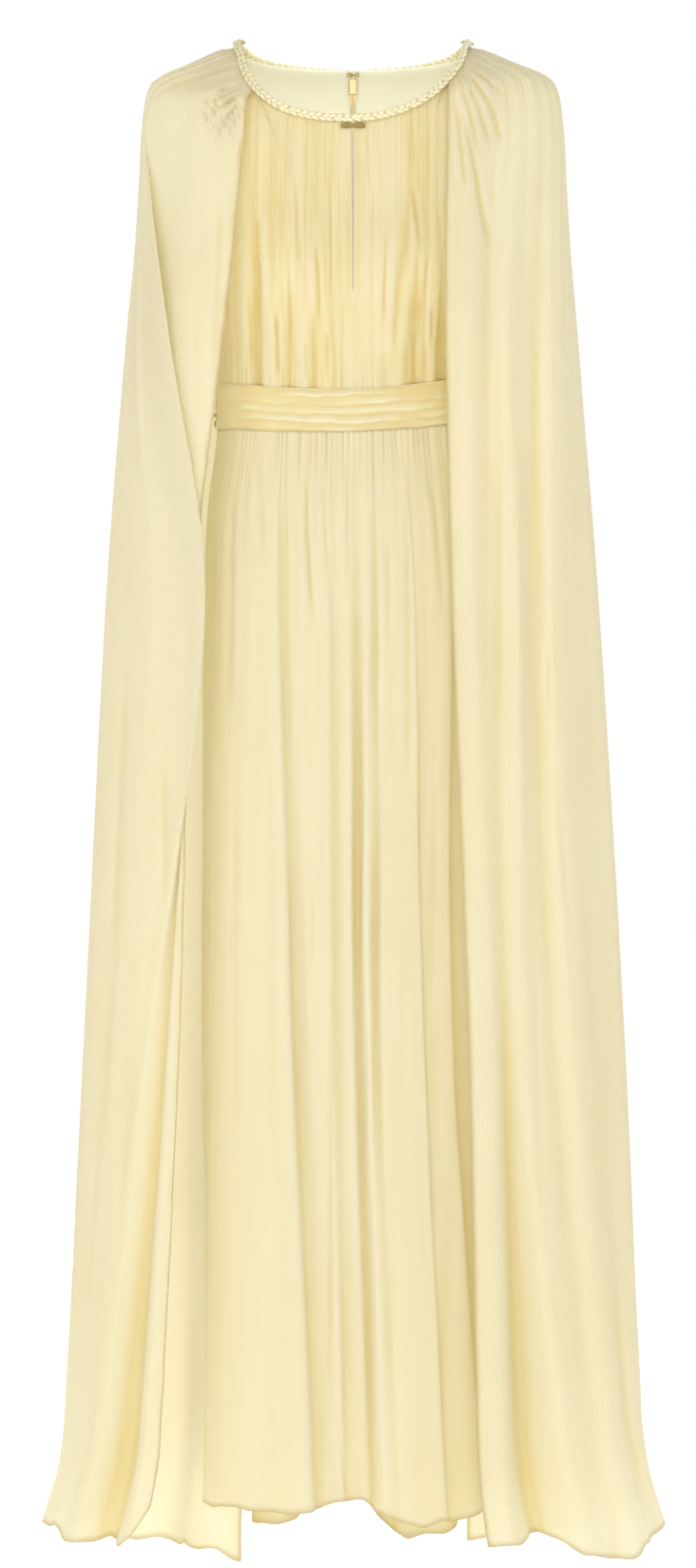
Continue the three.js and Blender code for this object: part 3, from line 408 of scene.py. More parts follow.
def neckline(share, face, side):
    """The neckline's x and z at shares of its length from the centre to the side."""
    parameters = np.linspace(1, 0, 201)
    x, z = neck_outline(parameters, face, side)
    length = lengths(torso(turn_of(x, z), z, face))
    return neck_outline(np.interp(share, length / length[-1], parameters), face, side)


def neck_point(share, face, side, out):
    """Points of the line that the braid and the capes are sewn along, moved out along the
    surface's normal: the front's neckline, and a little below the back's."""
    share = np.clip(share, 0, 1)
    x, z = neckline(share, face, side)
    if face == BACK:
        z = z - NECK_SINK * (1 - share ** 2)
    turn = turn_of(x, z)
    point = torso(turn, z, face)
    across = torso(turn + np.radians(0.5), z, face) - point
    down = torso(turn, z - 0.5, face) - point
    normal = unit(np.cross(down, across) * -face)
    point = point + normal * np.asarray(out, float)[..., None]
    point[..., 0] *= side
    return point


def cape_neck_out(share, face):
    """How far a cape's outer face stands off the body where it is sewn to the neckline."""
    if face == FRONT:
        return SHEER + CAPE_LIFT[FRONT] + 0 * share
    return SHEER + lerp(CAPE_LIFT[BACK], CAPE_LIFT[FRONT], share ** 2)


def band_z(edge, dip, turn, face):
    return edge - dip[face] * np.cos(turn) ** 2 + BAND_TILT * np.sin(turn)


# ---------- meshes of cloth

# Columns and rows of points in each sheet; bodice_front's columns are those of one half.
GRAIN = {"bodice_front": (122, 132), "bodice_back": (116, 80), "lining": (48, 48),
         "band_front": (150, 72), "band_back": (80, 72), "skirt_front": (262, 164),
         "skirt_back": (132, 120), "cape": (200, 176)}
CHIFFON_WALL, VOILE_WALL, LINING_WALL, HEM_WALL = 0.9, 0.6, 0.7, 1.5
HEM_ROLL, HEM_SHOWS = 2.4, 5  # how far in a hem is thick, and deeper in colour
RIPPLED = 22  # how far up from a hem its ripples fade
# The mean widths of each sheet's gathers, from the finest to the broadest.
GATHERS = {"bodice": (4.4, 7.3, 12), "back": (5.6, 16), "skirt": (5.4, 12), "cape": (8.5, 21)}


def normals(grid, side):
    return unit(np.cross(np.gradient(grid, axis=0), np.gradient(grid, axis=1)) * side)


def smoothed(points, reach):
    """A running mean of each point and its neighbours in the row, reach of them on each side."""
    total = np.cumsum(np.pad(points, ((0, 0), (reach + 1, reach), (0, 0)), mode="edge"), axis=1)
    width = 2 * reach + 1
    return (total[:, width:] - total[:, :-width]) / width


def fold_depth(points, normal, spacing):
    """How far points stand out of the cloth round them, from -1 in valleys to 1 on ridges."""
    total = 0
    for reach_mm, full_mm in ((3.5, 1.4), (16, 7)):
        reach = max(1, int(reach_mm / spacing))
        out = ((points - smoothed(points, reach)) * normal).sum(axis=2)
        total = total + np.clip(out / full_mm, -1, 1)
    return np.clip(total, -1, 1)


def in_scene(name, data):
    """A new object of the scene that shows the data."""
    obj = bpy.data.objects.new(name, data)
    bpy.context.scene.collection.objects.link(obj)
    return obj


def new_object(name, points, faces, smooth=True):
    mesh = bpy.data.meshes.new(name)
    mesh.from_pydata((np.asarray(points) * MM).tolist(), [], [list(map(int, f)) for f in faces])
    if smooth:
        mesh.shade_smooth()
    return in_scene(name, mesh)


def set_attribute(obj, name, values):
    attribute = obj.data.attributes.new(name, "FLOAT", "POINT")
    attribute.data.foreach_set("value", values.astype(np.float32))


def dress_up(obj, material, node=None):
    """Gives a piece its material and its body, and hides the node that it stands for: unless
    another is given, its own name without the last word."""
    obj.data.materials.append(material)
    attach(obj, "dress")
    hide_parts(node or obj.name.rpartition("_")[0])
    return obj


def shell(node, grid, out, side, wall, keep=None, hem=(), painted_shading_offset=0):
    """A thin closed sheet in a node's place: out is how far it stands off the grid. Its edges
    named in hem are rolled: left, right and bottom. Its colour is painted shade and highlight:
    deeper in its valleys and paler on its ridges, and painted_shading_offset paints more shade
    where it is below 0 and more highlight where it is above 0."""
    normal = normals(grid, side)
    points = grid + normal * out[..., None]
    rows, columns = out.shape
    across, down = along(points, 1), along(points, 0)
    edge = np.full_like(out, FAR, dtype=float)
    for name, away in (("left", across), ("right", across[:, -1:] - across),
                       ("bottom", down[-1:] - down)):
        if name in hem:
            edge = np.minimum(edge, away)
    thick = wall + (HEM_WALL - wall) * np.exp(-(edge / HEM_ROLL) ** 2)
    facing = normals(points, side)
    outer = points + facing * (thick / 2)[..., None]
    inner = points - facing * (thick / 2)[..., None]
    keep = np.ones((rows - 1, columns - 1), bool) if keep is None else keep

    count = rows * columns
    index = np.arange(count).reshape(rows, columns)
    a, b = index[:-1, :-1], index[:-1, 1:]
    c, d = index[1:, 1:], index[1:, :-1]
    quads = np.stack([a, d, c, b], axis=-1)[keep]
    shut = np.pad(keep, 1)
    rims = []
    for (p, q), beyond in (((b, a), shut[:-2, 1:-1]), ((d, c), shut[2:, 1:-1]),
                           ((a, d), shut[1:-1, :-2]), ((c, b), shut[1:-1, 2:])):
        rims.append(np.stack([q, p, p + count, q + count], axis=-1)[keep & ~beyond])
    faces = np.concatenate([quads, quads[:, ::-1] + count, *rims])
    if side < 0:
        faces = faces[:, ::-1]
    used = np.unique(faces)
    renumber = np.zeros(2 * count, int)
    renumber[used] = np.arange(len(used))
    vertices = np.concatenate([outer.reshape(-1, 3), inner.reshape(-1, 3)])[used]
    obj = new_object(f"{node}_cloth", vertices, renumber[faces])

    # Painted shading: a deeper colour in the cloth's valleys and a paler one on its ridges stand
    # in for light and shade on the folds.
    spacing = np.median(np.diff(across, axis=1))
    fold = np.clip(fold_depth(points, facing, spacing) + painted_shading_offset, -1, 1).ravel()
    set_attribute(obj, "fold", np.concatenate([fold, -fold])[used])
    set_attribute(obj, "hem", np.tile(np.exp(-(edge.ravel() / HEM_SHOWS) ** 2), 2)[used])
    uv = np.stack([np.tile(across.ravel(), 2), np.tile(-down.ravel(), 2)], axis=1)[used] * MM
    corners = np.zeros(len(obj.data.loops), np.int32)
    obj.data.loops.foreach_get("vertex_index", corners)
    layer = obj.data.uv_layers.new(name="weave")
    layer.data.foreach_set("uv", uv[corners].astype(np.float32).ravel())
    return obj


# ---------- bodice


TUCK = 1.4  # how far the bodice runs on under the band


def bodice_grid(share, run, face, side, gap):
    """Points of half a bodice panel: share is from the centre to the side, run from the top."""
    fall = run ** BODICE_CROWDING
    shoulder = lerp(NECK_HALF, SHOULDER_TIP, (share - NECK_SHARE) / (1 - NECK_SHARE))
    neck_x, neck_z = neckline(np.minimum(share / NECK_SHARE, 1), face, side)
    on_neck = share < NECK_SHARE
    top_x = np.where(on_neck, neck_x, shoulder)
    top_z = np.where(on_neck, neck_z, shoulder_z(shoulder))
    waist = band_z(BAND_TOP_Z, BAND_DIP, side * share * np.pi / 2, face) - TUCK
    z = lerp(top_z, waist, fall)
    reach = share * np.radians(value_at(ARMHOLE, "turn", z))
    start = turn_of(top_x, top_z) - share * np.radians(value_at(ARMHOLE, "turn", top_z))
    turn = reach + start * (1 - smoothstep(fall, 0, 0.4))
    point = torso(side * turn, z, face, CLOTH)
    point[..., 0] += side * gap * (1 - share)
    return point


def grooves(x, z):
    """The broad grooves under and beside the bust."""
    pressed = np.zeros_like(x)
    for centre, top, bottom, depth, width in zip(*BODICE_GROOVES.values()):
        run = smoothstep(-z, -top, -lerp(top, bottom, 0.6))
        pressed = np.maximum(pressed, depth * run * np.exp(-((x - centre) / width) ** 2))
    return pressed


PLACKET = (8.5, 11)  # the plain strip on each side of the keyhole ends here


def bodice_front():
    half, rows = GRAIN["bodice_front"]
    run = np.linspace(0, 1, rows)[:, None]
    open_share = np.clip(1 - run / KEYHOLE_RUN, 0, 1)
    gap = lerp(KEYHOLE_END, KEYHOLE_WIDTH, open_share) / 2
    share = np.linspace(0, 1, half + 1)[None, :]
    sides = [bodice_grid(share, run, FRONT, side, gap) for side in (RIGHT, LEFT)]
    grid = np.concatenate([sides[0][:, ::-1], sides[1]], axis=1)
    x, z = grid[..., 0], grid[..., 2]
    across, down = along(grid, 1), along(grid, 0)
    left = down[-1:] - down
    seam = np.maximum(np.exp(-down / 38), np.exp(-left / 34))
    under_cape = smoothstep(np.abs(x), 84, 94) * smoothstep(z, -120, -70)
    below_keyhole = smoothstep(run, KEYHOLE_RUN - 0.02, KEYHOLE_RUN + 0.06)
    placket = np.maximum(smoothstep(np.abs(x), *PLACKET), below_keyhole)
    high = lerp(0.55, 1.35, seam) * (1 - 0.9 * under_cape) * placket
    small, medium, large = GATHERS["bodice"]
    fine = (gathers(x, down, small, 3) + 0.4 * gathers(x + 7, down, medium, 5)) * high
    broad = gathers(x + 3, down, large, 11) * lerp(0.9, 0.6, seam) * placket * (1 - under_cape)
    pressed = creased(x, z, BODICE_CREASES, BODICE_DEPTH)
    rolled = np.exp(-((np.abs(x) - gap) / 1.6) ** 2) * (1 - below_keyhole)
    out = fine + 0.8 * broad - grooves(x, z) + pressed - CLOTH / 2
    out = out + 0.7 * (1 - placket) + 0.7 * rolled - 0.8 * smoothstep(run, 0.965, 1)
    keep = np.ones((rows - 1, 2 * half + 1), bool)
    keep[np.linspace(0, 1, rows)[:-1] < KEYHOLE_RUN - 1e-9, half] = False
    layers = 0.42 * noise(x / 10, z / 170, 13) + 0.35 * noise(x / 2.8, z / 110, 14)
    # Painted shading: the creases' valleys and the grooves are painted shade, deeper in colour,
    # and the creases' ridges and the keyhole's rolled edges painted highlight, paler; the layers
    # noise is uneven tone at random.
    painted_shading_offset = layers + 0.8 * rolled + (0.25 * pressed - 0.2 * grooves(x, z)) * (1 - under_cape)
    return shell("bodice_front", grid, out, 1, CHIFFON_WALL, keep, painted_shading_offset=painted_shading_offset)


def back_grid(side, run, columns, gap):
    return bodice_grid(np.linspace(1, 0, columns)[None, :], run, BACK, side, gap)


def bodice_back(side):
    columns, rows = GRAIN["bodice_back"]
    run = np.linspace(0, 1, rows)[:, None]
    gap = lerp(SEAM / 2, ZIP_OPEN, np.minimum(run * CAD_BACK_ROWS, 1))
    grid = back_grid(side, run, columns, gap)
    across, down = along(grid, 1), along(grid, 0)
    plain = smoothstep(across[:, -1:] - across, 3, 9)
    top = smoothstep(down, 12, 70)
    left = down[-1:] - down
    small, large = GATHERS["back"]
    fine = gathers(across, down, small, 20 + side) * lerp(0.5, 1.3, np.exp(-left / 40)) * top
    broad = gathers(across, down, large, 26 + side) * 0.9 * top
    tuck = 1.7 * smoothstep(run, 0.965, 1)
    return shell(name_of("bodice_back", side), grid,
                 (fine + broad) * plain - tuck - CLOTH / 2, side, CHIFFON_WALL)


def back_lining(side):
    """The lining. It stands open for the slider, and closes in on the zip below it."""
    columns, rows = GRAIN["lining"]
    run = np.linspace(0, 1, rows)[:, None]
    gap = lerp(ZIP_LINING, ZIP_LINING_BELOW, smoothstep(run, 0.18, 0.215))
    gap = lerp(gap, ZIP_LINING_LOW, smoothstep(run, 0.3, 0.4))
    grid = back_grid(side, run, columns, gap)
    up = unit(grid[0] - grid[6])
    share = np.linspace(1, 0, columns)
    rise = LINING_RISE * (1 - smoothstep(share, 0.85 * NECK_SHARE, NECK_SHARE))
    grid[:4] += np.linspace(1, 0.25, 4)[:, None, None] * (up * rise[:, None])
    across, down = along(grid, 1), along(grid, 0)
    out = 0.35 * noise(across / 22, down / 30, 31 + side) - LINING_INSIDE - SHEER / 2
    return shell(name_of("back_lining", side), grid, out, side, LINING_WALL)


def name_of(stem, side):
    return f"{stem}_{'left' if side == LEFT else 'right'}"


# ---------- waistband

PLEATS = 5
PLAIN_BAND_X = -124  # the front's pleats begin beyond this


def pleated(fall, across, seed):
    """Overlapping pleats across the band: each rises to its lower edge and drops sharply."""
    wander = 0.07 * noise(across / 48, fall * 2.4, seed)
    wander = wander + 0.026 * noise(across / 13, fall * 6, seed)
    at = (fall + wander) * PLEATS
    within = at - np.floor(at)
    lap = within * smoothstep(1 - within, 0, 0.3)
    strength = 0.72 + 0.75 * noise(across / 34, np.floor(at) * 1.7, seed + 2)
    return lap * strength


def band_piece(node, face, start, end, side):
    columns, rows = GRAIN[f"band_{COLUMN[face]}"]
    turn = np.linspace(start, end, columns)[None, :]
    fall = np.linspace(0, 1, rows)[:, None]
    top = band_z(BAND_TOP_Z, BAND_DIP, turn, face)
    bottom = band_z(BAND_BOTTOM_Z, BAND_BOTTOM_DIP, turn, face)
    grid = torso(turn, lerp(top, bottom, fall), face)
    across = along(grid, 1)
    edge = smoothstep(fall, 0, 0.15) * smoothstep(1 - fall, 0, 0.06)
    plain = smoothstep(grid[..., 0], PLAIN_BAND_X, PLAIN_BAND_X + 22) if face == FRONT else 1
    lap = pleated(fall, across, 40 + face + side) * plain
    pulls = 0.35 * noise(across / 8 + fall * 2, fall * 3, 47)
    out = lerp(0.1, BAND_PROUD, edge) + (3 * lap + pulls) * edge - CLOTH / 2
    # The pleats' colour is painted shade where each lap tucks under and painted highlight along
    # its lower edge.
    return shell(node, grid, out, side, CHIFFON_WALL, painted_shading_offset=1.6 * (lap - 0.42) * plain)


# ---------- skirt


def skirt_panel(node, lines, face, side, seed, creases=()):
    """A skirt's panel, on smooth curves through its fold lines."""
    columns, rows = GRAIN[f"skirt_{COLUMN[face]}"]
    levels = (("waist", SKIRT_WAIST), ("knee", SKIRT_KNEE), ("hem", SKIRT_HEM))
    turns = [turn_of(side * lines[name], z) for name, z in levels]
    top = band_z(BAND_BOTTOM_Z, BAND_BOTTOM_DIP, turns[0], face) - SEAM
    run = np.linspace(0, 1, rows) ** 1.25
    knots = []
    for k, (waist, knee, hem) in enumerate(zip(*turns)):
        knee_out = lines["kneeOut"][k]
        path = table("z turn out", (SKIRT_WAIST, waist, 0),
                     (SKIRT_HIP, lerp(waist, knee, 0.3), knee_out / 2),
                     (SKIRT_KNEE, knee, knee_out), (SKIRT_HEM, hem, lines["hemOut"][k]))
        z = lerp(top[k], lines["hemZ"][k], run)
        turn = value_at(path, "turn", z)
        half = value_at(BODY, "half", z)
        depth = value_at(BODY, COLUMN[face], z)
        normal = unit(np.stack([np.sin(turn) / half, face * np.cos(turn) / depth, 0 * z], -1))
        knots.append(torso(turn, z, face) + normal * value_at(path, "out", z)[:, None])
    knots = np.array(knots)
    steps = even_steps(knots[:, rows * 2 // 3], columns)
    grid = through(knots, steps).transpose(1, 0, 2)
    across, down = along(grid, 1), along(grid, 0)
    edges = smoothstep(np.minimum(across, across[:, -1:] - across), 0, 5)
    at_waist = np.broadcast_to(across[:1], across.shape)
    small, large = GATHERS["skirt"]
    fine = 2.3 * gathers(at_waist, down, small, seed) * np.exp(-down / 78)
    middle = 1.5 * gathers(at_waist, down / 3, large, seed + 3) * np.exp(-down / 260)
    long_folds = 1.1 * noise(across / 13, down / 420, seed + 5) * smoothstep(down, 40, 300)
    out = (fine + middle + long_folds) * edges - CLOTH / 2
    hem = np.exp(-(down[-1:] - down) / RIPPLED)
    grid[..., 2] += 3.5 * noise(across / 20, 0 * down, seed + 8) * hem * edges
    pressed = creased(grid[..., 0], grid[..., 2], creases, SKIRT_DEPTH)
    # The creases' colour is painted shade in their valleys and painted highlight on their ridges.
    return shell(node, grid, out + pressed, side, CHIFFON_WALL, hem=("bottom",),
                 painted_shading_offset=0.14 * pressed)


# ---------- capes

CAPE_SEAM = 330  # the cloth's length along its gathered seam
CREASED_BEFORE_Y = 60  # the creases of the photograph lie in front of this


def cape_knots(side):
    """The fold lines of a cape as points from the neck to the hem."""
    lines = CAPE_FOLDS[side]
    count = len(lines["shoulder"])
    side_share = np.argmax(lines["shoulder"] > 0) / (count - 1)
    knots = []
    for k in range(count):
        share = k / (count - 1)
        face = FRONT if share < side_share else BACK
        if face == FRONT:
            neck_share = lerp(CAPE_NECK_FRONT[side], 1, share / side_share)
        else:
            neck_share = lerp(1, CAPE_NECK_BACK, (share - side_share) / (1 - side_share))
        neck = neck_point(neck_share, face, side, cape_neck_out(neck_share, face))
        ring = hanging(lines, k, side, np.array([float(CAPE_RING)]))[0]
        point = lerp(neck, ring, CAPE_SHOULDER["out"][:, None])
        point[:, 2] = lerp(neck[2], ring[2], CAPE_SHOULDER["drop"])
        body = torso(turn_of(np.abs(point[:, 0]), point[:, 2]), point[:, 2], face)
        depth = np.abs(body[:, 1])
        row = np.arange(len(point))
        room = lerp(CAPE_ROOM_SEAM, CAPE_ROOM_SHOULDER, np.minimum(row / CAPE_ROOM_ROWS, 1))
        covers = (row > 0) & (depth > CAPE_ROOM_SHOULDER)
        clear = face * np.maximum(face * point[:, 1], depth + room)
        point[:, 1] = np.where(covers, clear, point[:, 1])
        hung = hanging(lines, k, side, lerp(CAPE_RING, lines["hemZ"][k], np.arange(1, 31) / 30))
        knots.append(np.concatenate([point, hung]))
    return np.array(knots)


def hanging(lines, k, side, z):
    """Points of a cape's fold line below the shoulder, at heights z."""
    path = table("z turn inside", *[
        (height, lines[name][k], lines[f"{name}In"][k] if f"{name}In" in lines else 0)
        for name, height in CAPE_LEVELS.items()])
    turn = np.radians(value_at(path, "turn", z))
    half = value_at(CAPES, "half", z)
    depth = np.where(turn < 0, value_at(CAPES, "front", z), value_at(CAPES, "back", z))
    normal = unit(np.stack([np.cos(turn) / half, np.sin(turn) / depth, 0 * z], axis=-1))
    point = np.stack([half * np.cos(turn), depth * np.sin(turn), z], axis=-1)
    point = point - normal * value_at(path, "inside", z)[:, None]
    point[:, 0] *= side
    return point


def cape(side):
    """A cape, on smooth curves through its fold lines, with a rippled and rolled hem."""
    columns, rows = GRAIN["cape"]
    seed = 60 + 7 * side
    knots = cape_knots(side)
    down_steps = even_steps(knots[len(knots) // 2], rows)
    rows_of_knots = through(knots.transpose(1, 0, 2), down_steps)
    across_steps = even_steps(rows_of_knots[rows * 2 // 3], columns)
    grid = through(rows_of_knots.transpose(1, 0, 2), across_steps).transpose(1, 0, 2)
    across, down = along(grid, 1), along(grid, 0)
    share = across_steps[None, :] / (len(knots) - 1)
    seam_run = share * CAPE_SEAM
    start = smoothstep(down, 5, 22)
    small, large = GATHERS["cape"]
    fine = 4.5 * gathers(seam_run, down / 2, small, seed) * start * np.exp(-down / 42)
    middle = 2.2 * gathers(seam_run, down / 4, large, seed + 2) * start * np.exp(-down / 330)
    long_folds = 1.5 * noise(share * 26, down / 520, seed + 4) * smoothstep(down, 60, 380)
    hem = np.exp(-(down[-1:] - down) / RIPPLED)
    lettuce = 1.6 * noise(across / 13, 0 * down, seed + 6) * hem
    grid[..., 2] += 6 * noise(across / 24, 0 * down, seed + 9) * hem
    edge = np.exp(-np.minimum(across, across[:, -1:] - across) / 6)
    lettuce = lettuce + 1.1 * noise(down / 15, 0 * down + 3, seed + 8) * edge * start
    pressed = creased(grid[..., 0], grid[..., 2], CAPE_CREASES[side], CAPE_DEPTH[side])
    pressed *= grid[..., 1] < CREASED_BEFORE_Y
    out = fine + middle + long_folds + lettuce + pressed - SHEER / 2
    # The creases' colour is painted shade in their valleys and painted highlight on their ridges,
    # stronger near the neck.
    return shell(name_of("cape", side), grid, out, side, VOILE_WALL,
                 hem=("left", "right", "bottom"),
                 painted_shading_offset=pressed * lerp(0.7, 0.25, smoothstep(down, 60, 160)))


# ---------- braid and other trim

BRAID_HALF, BRAID_LEAN, BRAID_CENTRE, GATHER_HIGH = 4.3, 3.5, 0.006, 1.2
STRAND, STRAND_FLAT, PLAIT_PITCH, PLAIT_HIGH = 1.75, 0.7, 21, 0.7
BRAID_POINTS = {FRONT: 900, BACK: 460}
STRAND_SIDES, EVERY_THIRD = 8, slice(None, None, 3)


def tube(path, radius, sides, up, flat=1):
    """Rings of points round a path, and their faces, with capped ends. A ring's height is its
    width x flat."""
    forward = unit(np.gradient(path, axis=0))
    across = unit(np.cross(forward, up))
    lift = np.cross(across, forward)
    turn = (np.arange(sides) * 2 * np.pi / sides)[:, None]
    rings = path[:, None] + radius * (across[:, None] * np.cos(turn)
                                      + flat * lift[:, None] * np.sin(turn))
    index = np.arange(len(path) * sides).reshape(len(path), sides)
    following = np.roll(index, -1, axis=1)
    quads = np.stack([index[:-1], following[:-1], following[1:], index[1:]], axis=-1)
    faces = [*quads.reshape(-1, 4), index[0][::-1], index[-1]]
    return rings.reshape(-1, 3), faces


def joined(name, parts):
    """One mesh from several lists of points and faces."""
    points, faces, first = [], [], 0
    for part_points, part_faces in parts:
        points.append(part_points)
        faces += [face + first for face in part_faces]
        first += len(part_points)
    return new_object(name, np.concatenate(points), faces)


def braid(name, face, start, end):
    """Three plaited strands along the neckline between two stations, -1 to 1."""
    station = np.linspace(start, end, BRAID_POINTS[face])
    share = np.abs(station)
    cape_start = CAPE_NECK_BACK
    if face == FRONT:
        cape_start = np.where(station < 0, CAPE_NECK_FRONT[RIGHT], CAPE_NECK_FRONT[LEFT])
    over = smoothstep(share, cape_start - 0.2, cape_start - 0.05)
    lift = SEAM + (GATHER_HIGH if face == FRONT else 0)
    lift = lift + over * cape_neck_out(share, face)
    base, higher = (
        np.where((station < 0)[:, None], neck_point(share, face, RIGHT, lift + extra),
                 neck_point(share, face, LEFT, lift + extra)) for extra in (0, 1))
    up = higher - base
    across = unit(np.cross(up, np.gradient(base, axis=0)))
    length = lengths(base)
    parts, painted_strand_shade = [], []
    for strand in range(3):
        phase = 2 * np.pi * (length / PLAIT_PITCH + strand / 3)
        phase = phase + 0.35 * noise(length / 15, 0 * length, 90 + strand)
        aside = (BRAID_HALF - STRAND) * np.sin(phase)
        crossing = np.sin(2 * phase)
        high = STRAND * STRAND_FLAT + PLAIT_HIGH * (1 + crossing)
        lean = BRAID_LEAN * over * np.maximum(-aside / BRAID_HALF, 0)
        path = base + across * aside[:, None] + up * (high + lean)[:, None]
        parts.append(tube(path[EVERY_THIRD], STRAND, STRAND_SIDES, up[EVERY_THIRD], STRAND_FLAT))
        # Painted shade on the strands: deeper where one passes under another and on each strand's
        # flanks, paler where it crosses over.
        around = np.abs(np.sin(np.arange(STRAND_SIDES) * 2 * np.pi / STRAND_SIDES))
        painted_strand_shade.append((0.7 * crossing[EVERY_THIRD, None] + 0.7 * around - 0.5).ravel())
    obj = joined(name, parts)
    set_attribute(obj, "fold", np.concatenate(painted_strand_shade))
    return obj


COIL_PITCH, COIL_WIRE, COIL_RADIUS, COIL_ASIDE, COIL_INSIDE = 1.6, 0.5, 0.55, 0.75, 3.9
COIL_SIDES, COIL_STEPS = 4, 6


def zip_coil():
    """Two coils of nylon that mesh down the inside of the centre back."""
    turns = (ZIP_TOP_Z - ZIP_END_Z) / COIL_PITCH
    angle = np.arange(0, turns * 2 * np.pi, 2 * np.pi / COIL_STEPS)
    z = ZIP_TOP_Z - COIL_PITCH * angle / (2 * np.pi)
    centre = torso(0 * z, z, BACK)
    slope = np.gradient(centre[:, 1], z)
    normal = unit(np.stack([0 * z, np.ones_like(z), -slope], axis=1))
    parts = []
    for side in (LEFT, RIGHT):
        path = centre - normal * (COIL_INSIDE + COIL_RADIUS * np.cos(angle))[:, None]
        path[:, 0] += side * (COIL_ASIDE + COIL_RADIUS * np.sin(angle))
        parts.append(tube(path, COIL_WIRE, COIL_SIDES, normal))
    return joined("zip_coil", parts)


# ---------- materials


def linear(colour):
    """A colour given in 8-bit sRGB, as the shader's linear numbers."""
    srgb = np.array(colour) / 255
    return (*np.where(srgb <= 0.04045, srgb / 12.92, ((srgb + 0.055) / 1.055) ** 2.4), 1)


class Nodes:
    """A short way to add and link shader nodes. A value may be a number, a colour, a socket or
    a node, which stands for its first output."""

    def __init__(self, name):
        self.material = bpy.data.materials.new(name)
        self.material.use_nodes = True
        self.tree = self.material.node_tree
        self.tree.nodes.clear()

    def add(self, kind, inputs, **settings):
        node = self.tree.nodes.new(f"ShaderNode{kind}")
        for key, value in settings.items():
            setattr(node, key, value)
        for key, value in inputs.items():
            if isinstance(value, bpy.types.Node):
                value = value.outputs[0]
            if isinstance(value, bpy.types.NodeSocket):
                self.tree.links.new(value, node.inputs[key])
            else:
                node.inputs[key].default_value = value
        return node

    def attribute(self, name):
        return self.add("Attribute", {}, attribute_name=name).outputs["Fac"]

    def place(self):
        return self.add("TexCoord", {}).outputs["Object"]

    def noise(self, place, scale, detail, roughness=0.5):
        return self.add("TexNoise", {"Vector": place, "Scale": scale, "Detail": detail,
                                     "Roughness": roughness})

    def bands(self, direction, inputs):
        return self.add("TexWave", inputs, wave_type="BANDS",
                        bands_direction=direction).outputs["Fac"]

    def vector(self, operation, inputs):
        return self.add("VectorMath", inputs, operation=operation)

    def math(self, operation, *values):
        return self.add("Math", dict(enumerate(values)), operation=operation)

    def remap(self, value, low, high, to_low=0, to_high=1):
        return self.add("MapRange", {"Value": value, "From Min": low, "From Max": high,
                                     "To Min": to_low, "To Max": to_high})

    def mix(self, factor, a, b):
        return self.add("Mix", {0: factor, 6: a, 7: b}, data_type="RGBA").outputs[2]

    def bump(self, height, strength, distance):
        return self.add("Bump", {"Height": height, "Strength": strength, "Distance": distance})

    def finish(self, shader):
        self.add("OutputMaterial", {"Surface": shader})
        return self.material


def weave(nodes, threads, crepe):
    """The height of a plain weave: threads to the metre, broken up by the yarn's twist."""
    uv = nodes.add("UVMap", {}, uv_map="weave")
    slub = nodes.noise(uv, threads * 0.35, 2, 0.6)
    shift = nodes.vector("SCALE", {0: slub.outputs["Color"], "Scale": crepe / threads})
    bent = nodes.vector("ADD", {0: uv, 1: shift})
    warp, weft = (nodes.bands(direction, {"Vector": bent, "Scale": threads / 6.283})
                  for direction in ("X", "Y"))
    return nodes.math("MAXIMUM", warp, weft), slub


ROLLED_HEM = (228, 208, 152)


def chiffon(name, light, middle, deep, through_light, sheer=0, gloss=0.72, sheen=0.25,
            threads=1600, streaks=0.5):
    """Woven silk, with painted shade, warmer and deeper, down in its folds and a painted
    highlight on their ridges; deeper too in streaks down the cloth, where its layers lie closer;
    and lit a little from behind."""
    nodes = Nodes(name)
    height, slub = weave(nodes, threads, 0.9)
    hem, place = nodes.attribute("hem"), nodes.place()
    streak = nodes.noise(nodes.vector("MULTIPLY", {0: place, 1: (1, 1, 0.045)}), 85, 4, 0.65)
    cloudy = nodes.noise(place, 9, 3)
    drift = nodes.math("MULTIPLY_ADD", cloudy, 0.5, -0.25 - streaks / 2)
    drift = nodes.math("MULTIPLY_ADD", streak, streaks, drift)
    # Painted shading: the deep colour fills the valleys as painted shade and the light colour the
    # ridges as painted highlight.
    lit = nodes.math("ADD", nodes.attribute("fold"), drift)
    colour = nodes.mix(nodes.remap(lit, -1.1, 0), linear(deep), linear(middle))
    colour = nodes.mix(nodes.remap(lit, 0, 0.7), colour, linear(light))
    colour = nodes.mix(nodes.remap(slub, 0, 1, 0, 0.14), colour, linear(deep))
    rolled = nodes.math("MULTIPLY", nodes.math("POWER", hem, 3), 0.75)
    colour = nodes.mix(rolled, colour, linear(ROLLED_HEM))
    bump = nodes.bump(height, 0.35, 0.00015)
    shader = nodes.add("BsdfPrincipled", {
        "Base Color": colour, "Roughness": nodes.remap(slub, 0, 1, gloss - 0.06, gloss + 0.1),
        "Normal": bump, "Sheen Weight": sheen, "Sheen Roughness": 0.45,
        "Specular IOR Level": 0.3})
    behind = nodes.add("BsdfTranslucent", {"Color": colour, "Normal": bump})
    shader = nodes.add("MixShader", {0: through_light, 1: shader, 2: behind})
    if sheer:
        gaps = nodes.remap(height, 0.2, 0.9, 1.8 * sheer, 0.4 * sheer)
        bare = nodes.math("MULTIPLY", gaps, nodes.math("SUBTRACT", 1, hem))
        shader = nodes.add("MixShader", {0: bare, 1: shader, 2: nodes.add("BsdfTransparent", {})})
    return nodes.finish(shader)


